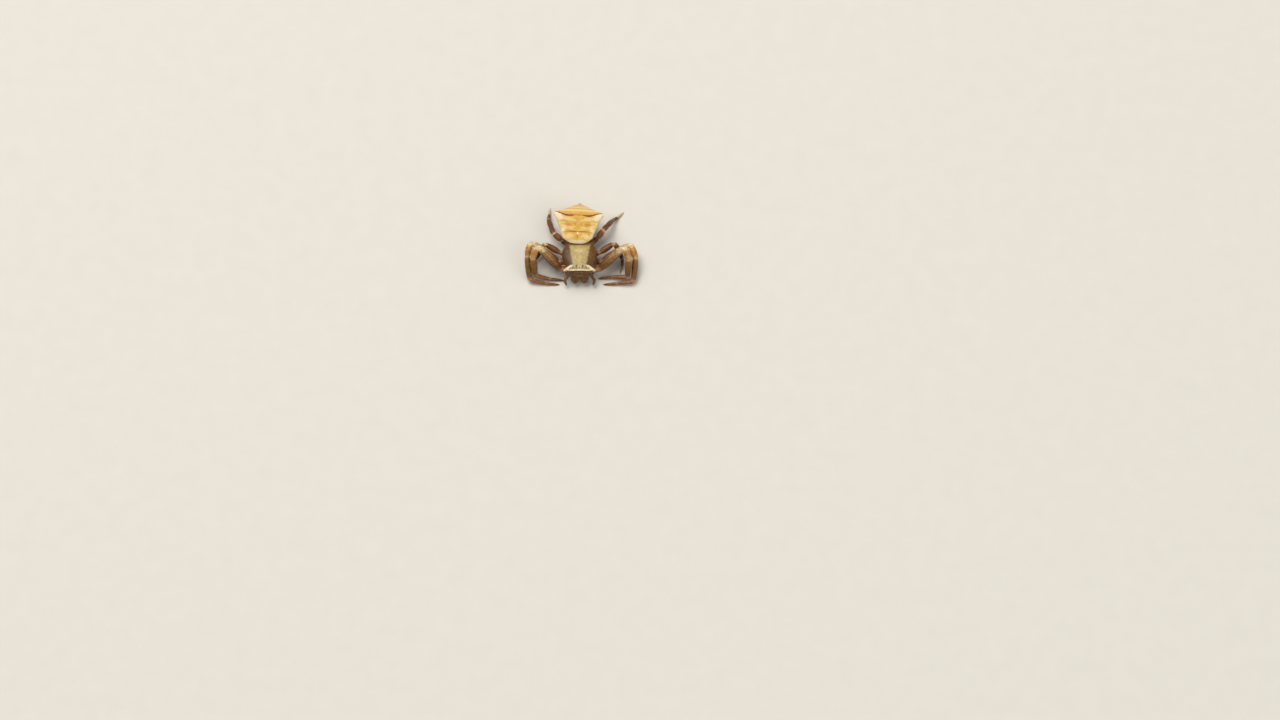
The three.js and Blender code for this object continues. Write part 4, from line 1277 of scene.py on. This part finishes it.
def curved_cone(tree, length, thickness, sides, joints):
    """One bristle: a thin cone, curved to one side, that knows how far each point is from its root."""
    cone = node(tree, "GeometryNodeMeshCone", {
        "Vertices": sides, "Side Segments": joints, "Radius Top": 0.0, "Radius Bottom": thickness,
        "Depth": length}, fill_type="NONE")
    place = node(tree, "GeometryNodeInputPosition").outputs[0]
    share = vector_math(tree, "SCALE", place, maths(tree, "DIVIDE", TUFT_PATCH, length))
    marked = stored(tree, cone.outputs["Mesh"], "tuft_place", share, "FLOAT_VECTOR", "POINT")
    height = axes_of(tree, place)[2]
    bow = times(tree, maths(tree, "DIVIDE", times(tree, height, height), length), BRISTLE_BOW)
    bent = node(tree, "GeometryNodeSetPosition", {"Geometry": marked, "Offset": vector_of(tree, bow)})
    return bent.outputs[0]


def stood(tree, points, shape, direction, size, finish, out):
    """Stands a shape on every point, each as its own patch at its root's place on the unwrap."""
    turn = node(tree, "FunctionNodeAlignRotationToVector", {"Vector": direction}, axis="Z")
    placed = node(tree, "GeometryNodeInstanceOnPoints", {
        "Points": points, "Instance": shape, "Rotation": turn.outputs[0], "Scale": size})
    real = node(tree, "GeometryNodeRealizeInstances", {0: placed.outputs[0]})
    swung = axes_of(tree, named(tree, "tuft_place"))
    flat = vector_of(tree, times(tree, swung[0], TUFT_SPREAD), swung[2])
    patch = vector_math(tree, "ADD", named(tree, "root_place"), flat)
    mapped = stored(tree, real.outputs[0], "OFBake", patch, "FLOAT2", "CORNER")
    coated = node(tree, "GeometryNodeSetMaterial", {"Geometry": mapped, "Material": finish})
    feed(tree, coated.outputs[0], out)


def coat_tree():
    """Bristles over a skin: each stands at a random point, leaning along the lie of the coat."""
    tree, given, out = new_tree("bristles", "GeometryNodeTree", [
        ("Skin", "NodeSocketGeometry", None), ("Density", "NodeSocketFloat", 100.0),
        ("Length", "NodeSocketFloat", 0.08), ("Thickness", "NodeSocketFloat", 0.004),
        ("Lean", "NodeSocketFloat", 0.6), ("Seed", "NodeSocketInt", 1),
        ("Finish", "NodeSocketMaterial", None),
    ], [("Coat", "NodeSocketGeometry")])
    points = node(tree, "GeometryNodeDistributePointsOnFaces", {
        "Mesh": given["Skin"], "Density": given["Density"], "Seed": given["Seed"]},
        distribute_method="RANDOM")
    wild = node(tree, "FunctionNodeRandomValue", {
        "Min": tuple(-reach for reach in BRISTLE_WILD), "Max": BRISTLE_WILD, "Seed": given["Seed"]},
        data_type="FLOAT_VECTOR")
    leaning = vector_math(tree, "SCALE", named(tree, "lie"), given["Lean"])
    direction = vector_math(tree, "ADD", points.outputs["Normal"], leaning)
    direction = vector_math(tree, "ADD", direction, wild.outputs["Value"])
    low, high = BRISTLE_SIZES
    size = node(tree, "FunctionNodeRandomValue", {2: low, 3: high, "Seed": given["Seed"]}, data_type="FLOAT")
    shape = curved_cone(tree, given["Length"], given["Thickness"], 3, 3)
    stood(tree, points.outputs["Points"], shape, direction, size.outputs[1], given["Finish"], out["Coat"])
    return tree


def spine_tree():
    """Stout spines that stand at given roots, each with its own lean and length."""
    tree, given, out = new_tree("spines", "GeometryNodeTree", [
        ("Roots", "NodeSocketGeometry", None), ("Thickness", "NodeSocketFloat", 0.01),
        ("Finish", "NodeSocketMaterial", None),
    ], [("Coat", "NodeSocketGeometry")])
    whole = node(tree, "ShaderNodeValue").outputs[0]
    whole.default_value = 1.0
    shape = curved_cone(tree, whole, maths(tree, "DIVIDE", given["Thickness"], SPINE_USUAL), 7, 6)
    points = node(tree, "GeometryNodeMeshToPoints", {"Mesh": given["Roots"]}).outputs[0]
    size = named(tree, "size", "FLOAT")
    stood(tree, points, shape, named(tree, "aim"), size, given["Finish"], out["Coat"])
    return tree


def grown(piece, tree, values):
    """A piece turned into what the tree grows on it."""
    modifier = piece.modifiers.new("growth", "NODES")
    modifier.node_group = tree
    for key, value in values.items():
        modifier[socket(tree, key).identifier] = value
    return applied(piece)


def coat(name, tree, skins, finish, density, length, thickness, lean, seed):
    """The bristles of several skins, as one mesh."""
    made = []
    for i, skin in enumerate(skins):
        base = benched(f"{name}_{i}", skin.data.copy())
        made.append(grown(base, tree, {"Density": density, "Length": length, "Thickness": thickness,
                                       "Lean": lean, "Seed": seed + i, "Finish": finish}))
    return joined(name, made)


# Putting the pieces in their places.
def finished(piece, finish, nodes=()):
    """Puts a bench piece in its place in the model and hides the imported parts that it stands for."""
    mesh = piece.data
    points = points_of(mesh)
    points[:, 2] = np.maximum(points[:, 2], 0)
    move_points(mesh, points * MM + HOME)
    for face in mesh.polygons:
        face.use_smooth = True
    if finish is not None:
        mesh.materials.clear()
        mesh.materials.append(finish)
    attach(piece, "root")
    if nodes:
        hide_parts(*nodes)


def middle_of(node_name):
    """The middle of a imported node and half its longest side."""
    low, high = (np.array(corner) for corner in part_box(node_name))
    return (low + high) / 2, (high - low).max() / 2


# The bench frame's origin in the model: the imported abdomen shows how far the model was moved.
abdomen_low, abdomen_high = (np.array(corner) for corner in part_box("abdomen"))
plain_abdomen = abdomen_turned(abdomen_rings()[1]).reshape(-1, 3) * MM
HOME = (abdomen_low + abdomen_high) / 2 - (plain_abdomen.min(0) + plain_abdomen.max(0)) / 2
HOME[2] = 0

EYE_ROWS = ("front_median", "front_lateral", "rear_median", "rear_lateral")
EYE_NAMES = [f"eye_{row}_{side}" for row in EYE_ROWS for side in SIDE_SIGN]
eye_places = {name: middle_of(name) for name in EYE_NAMES}
head_eyes = [((centre - HOME) / MM, radius / MM) for centre, radius in eye_places.values()]

oval = oval_group()
cuticle = cuticle_group()
abdomen_look = abdomen_finish(oval, cuticle)
head_look = head_finish(oval, cuticle, head_eyes)
front_leg_look = leg_finish("front_leg_cuticle", FRONT_LEG_BANDS, cuticle)
leg_looks = {
    "leg1": front_leg_look,
    "leg2": front_leg_look,
    "leg3": leg_finish("third_leg_cuticle", THIRD_LEG_BANDS, cuticle),
    "leg4": leg_finish("rear_leg_cuticle", REAR_LEG_BANDS, cuticle),
}
plain_looks = {name: plain_finish(name, cuticle) for name in PLAIN_FINISHES}
eye_look = eye_finish(cuticle)

abdomen = abdomen_skin()
head = head_skin(head_eyes)
legs = {(name, side): leg_skin(name, side) for name in LEGS for side in SIDE_SIGN}
jaws = {side: jaw(side) for side in SIDE_SIGN}
palps = {side: palp_skin(side) for side in SIDE_SIGN}

# Each coat's skins and finish, then how many bristles to a square millimetre, their length,
# thickness and lean, and the seed.
COATS = {
    "leg_bristles": (list(legs.values()), "bristle_horn", 130.0, 0.08, 0.0034, 1.0, 11),
    "abdomen_bristles": ([abdomen], "pale_bristle_horn", 60.0, 0.055, 0.003, 0.8, 41),
    "head_bristles": ([head], "bristle_horn", 50.0, 0.065, 0.0032, 0.6, 61),
    "mouth_bristles": ([*jaws.values(), *palps.values()], "bristle_horn", 150.0, 0.085, 0.0034, 0.9, 71),
}
bristles = coat_tree()
coats = {}
for name, (skins, finish, *habit) in COATS.items():
    coats[name] = coat(name, bristles, skins, plain_looks[finish], *habit)
leg_spines = joined("leg_spines", [grown(spine_roots(), spine_tree(), {
    "Thickness": SPINE_THICKNESS, "Finish": plain_looks["spine_horn"]})])

finished(abdomen, abdomen_look, ["abdomen"])
finished(waist(), plain_looks["waist_cuticle"], ["pedicel"])
finished(spinnerets(), plain_looks["spinneret_cuticle"], ["spinnerets"])
finished(head, head_look, ["carapace", "sternum"])
for (name, side), skin in legs.items():
    nodes = [f"{name}_{side}_{part}" for part in ("coxa", "femur", "patella", "tibia", "foot")]
    finished(skin, leg_looks[name], nodes)
for side in SIDE_SIGN:
    finished(jaws[side], plain_looks["jaw_cuticle"], [f"chelicera_{side}"])
    finished(fang(side), plain_looks["fang_horn"])
    finished(palps[side], plain_looks["palp_cuticle"], [f"palp_{side}"])
for name, (centre, radius) in eye_places.items():
    lens = ball(f"{name}_lens", (centre - HOME) / MM, (radius / MM,) * 3)
    finished(lens, eye_look, [name])
finished(coats["leg_bristles"], None)
finished(leg_spines, None)
finished(claws(), plain_looks["fang_horn"])
finished(coats["abdomen_bristles"], None)
finished(coats["head_bristles"], None)
finished(coats["mouth_bristles"], None)

# The camera looks down as the photograph does, with the animal at the same place in the image.
SCALE = 0.0625 * MM  # one pixel of the 1280 wide image, at the animal
CAMERA_RISE = math.radians(70)
CAMERA_LENS = 100
IMAGE_WIDTH = 1280
IMAGE_MIDDLE = (640, 360)
BODY_PIXEL = (579, 243)  # the animal's middle in the image
BODY_HEIGHT = 1.2 * MM
FLOOR_HALF = 0.6
# Lamps: place, size, power and colour.
LAMPS = {
    "key": ((-0.12, 0.16, 0.42), 0.3, 1.85, (1, 0.97, 0.91)),
    "fill": ((0.35, -0.2, 0.3), 0.4, 0.7, (1, 0.98, 0.95)),
}
LAMP_TARGET = (0, 0, 0.001)
SKY = ((1, 0.98, 0.95, 1), 0.36)


def floor():
    """A plain sheet under the animal."""
    mesh = bpy.data.meshes.new("floor")
    corners = [(FLOOR_HALF * x, FLOOR_HALF * y, 0) for x, y in ((-1, -1), (1, -1), (1, 1), (-1, 1))]
    mesh.from_pydata(corners, [], [(0, 1, 2, 3)])
    piece = benched("floor", mesh)
    mesh.materials.append(floor_finish())


def studio():
    """A soft key lamp, a weak fill and an even sky."""
    for name, (place, size, power, colour) in LAMPS.items():
        lamp = bpy.data.lights.new(name, "AREA")
        lamp.size = size
        lamp.energy = power
        lamp.color = colour
        thing = benched(name, lamp)
        thing.location = place
        thing.rotation_euler = (Vector(LAMP_TARGET) - thing.location).to_track_quat("-Z", "Y").to_euler()
    world = bpy.data.worlds.new("studio")
    bpy.context.scene.world = world
    world.use_nodes = True
    sky = world.node_tree.nodes["Background"].inputs
    sky[0].default_value, sky[1].default_value = SKY


def camera():
    """Stands the camera so that the body covers its pixel at the photograph's scale."""
    lens = bpy.data.cameras.new("camera")
    lens.lens = CAMERA_LENS
    lens.clip_start = 0.005
    thing = benched("camera", lens)
    ahead = Vector((0, math.cos(CAMERA_RISE), -math.sin(CAMERA_RISE)))
    up = Vector((0, math.sin(CAMERA_RISE), math.cos(CAMERA_RISE)))
    body = Vector((HOME[0], HOME[1], BODY_HEIGHT))
    right_by = (IMAGE_MIDDLE[0] - BODY_PIXEL[0]) * SCALE
    down_by = (IMAGE_MIDDLE[1] - BODY_PIXEL[1]) * SCALE
    middle = body + Vector((1, 0, 0)) * right_by - up * down_by
    distance = IMAGE_WIDTH * SCALE * CAMERA_LENS / lens.sensor_width
    thing.location = middle - ahead * distance
    thing.rotation_euler = ahead.to_track_quat("-Z", "Y").to_euler()
    bpy.context.scene.camera = thing


floor()
camera()
studio()
bpy.context.scene.view_settings.view_transform = "Standard"
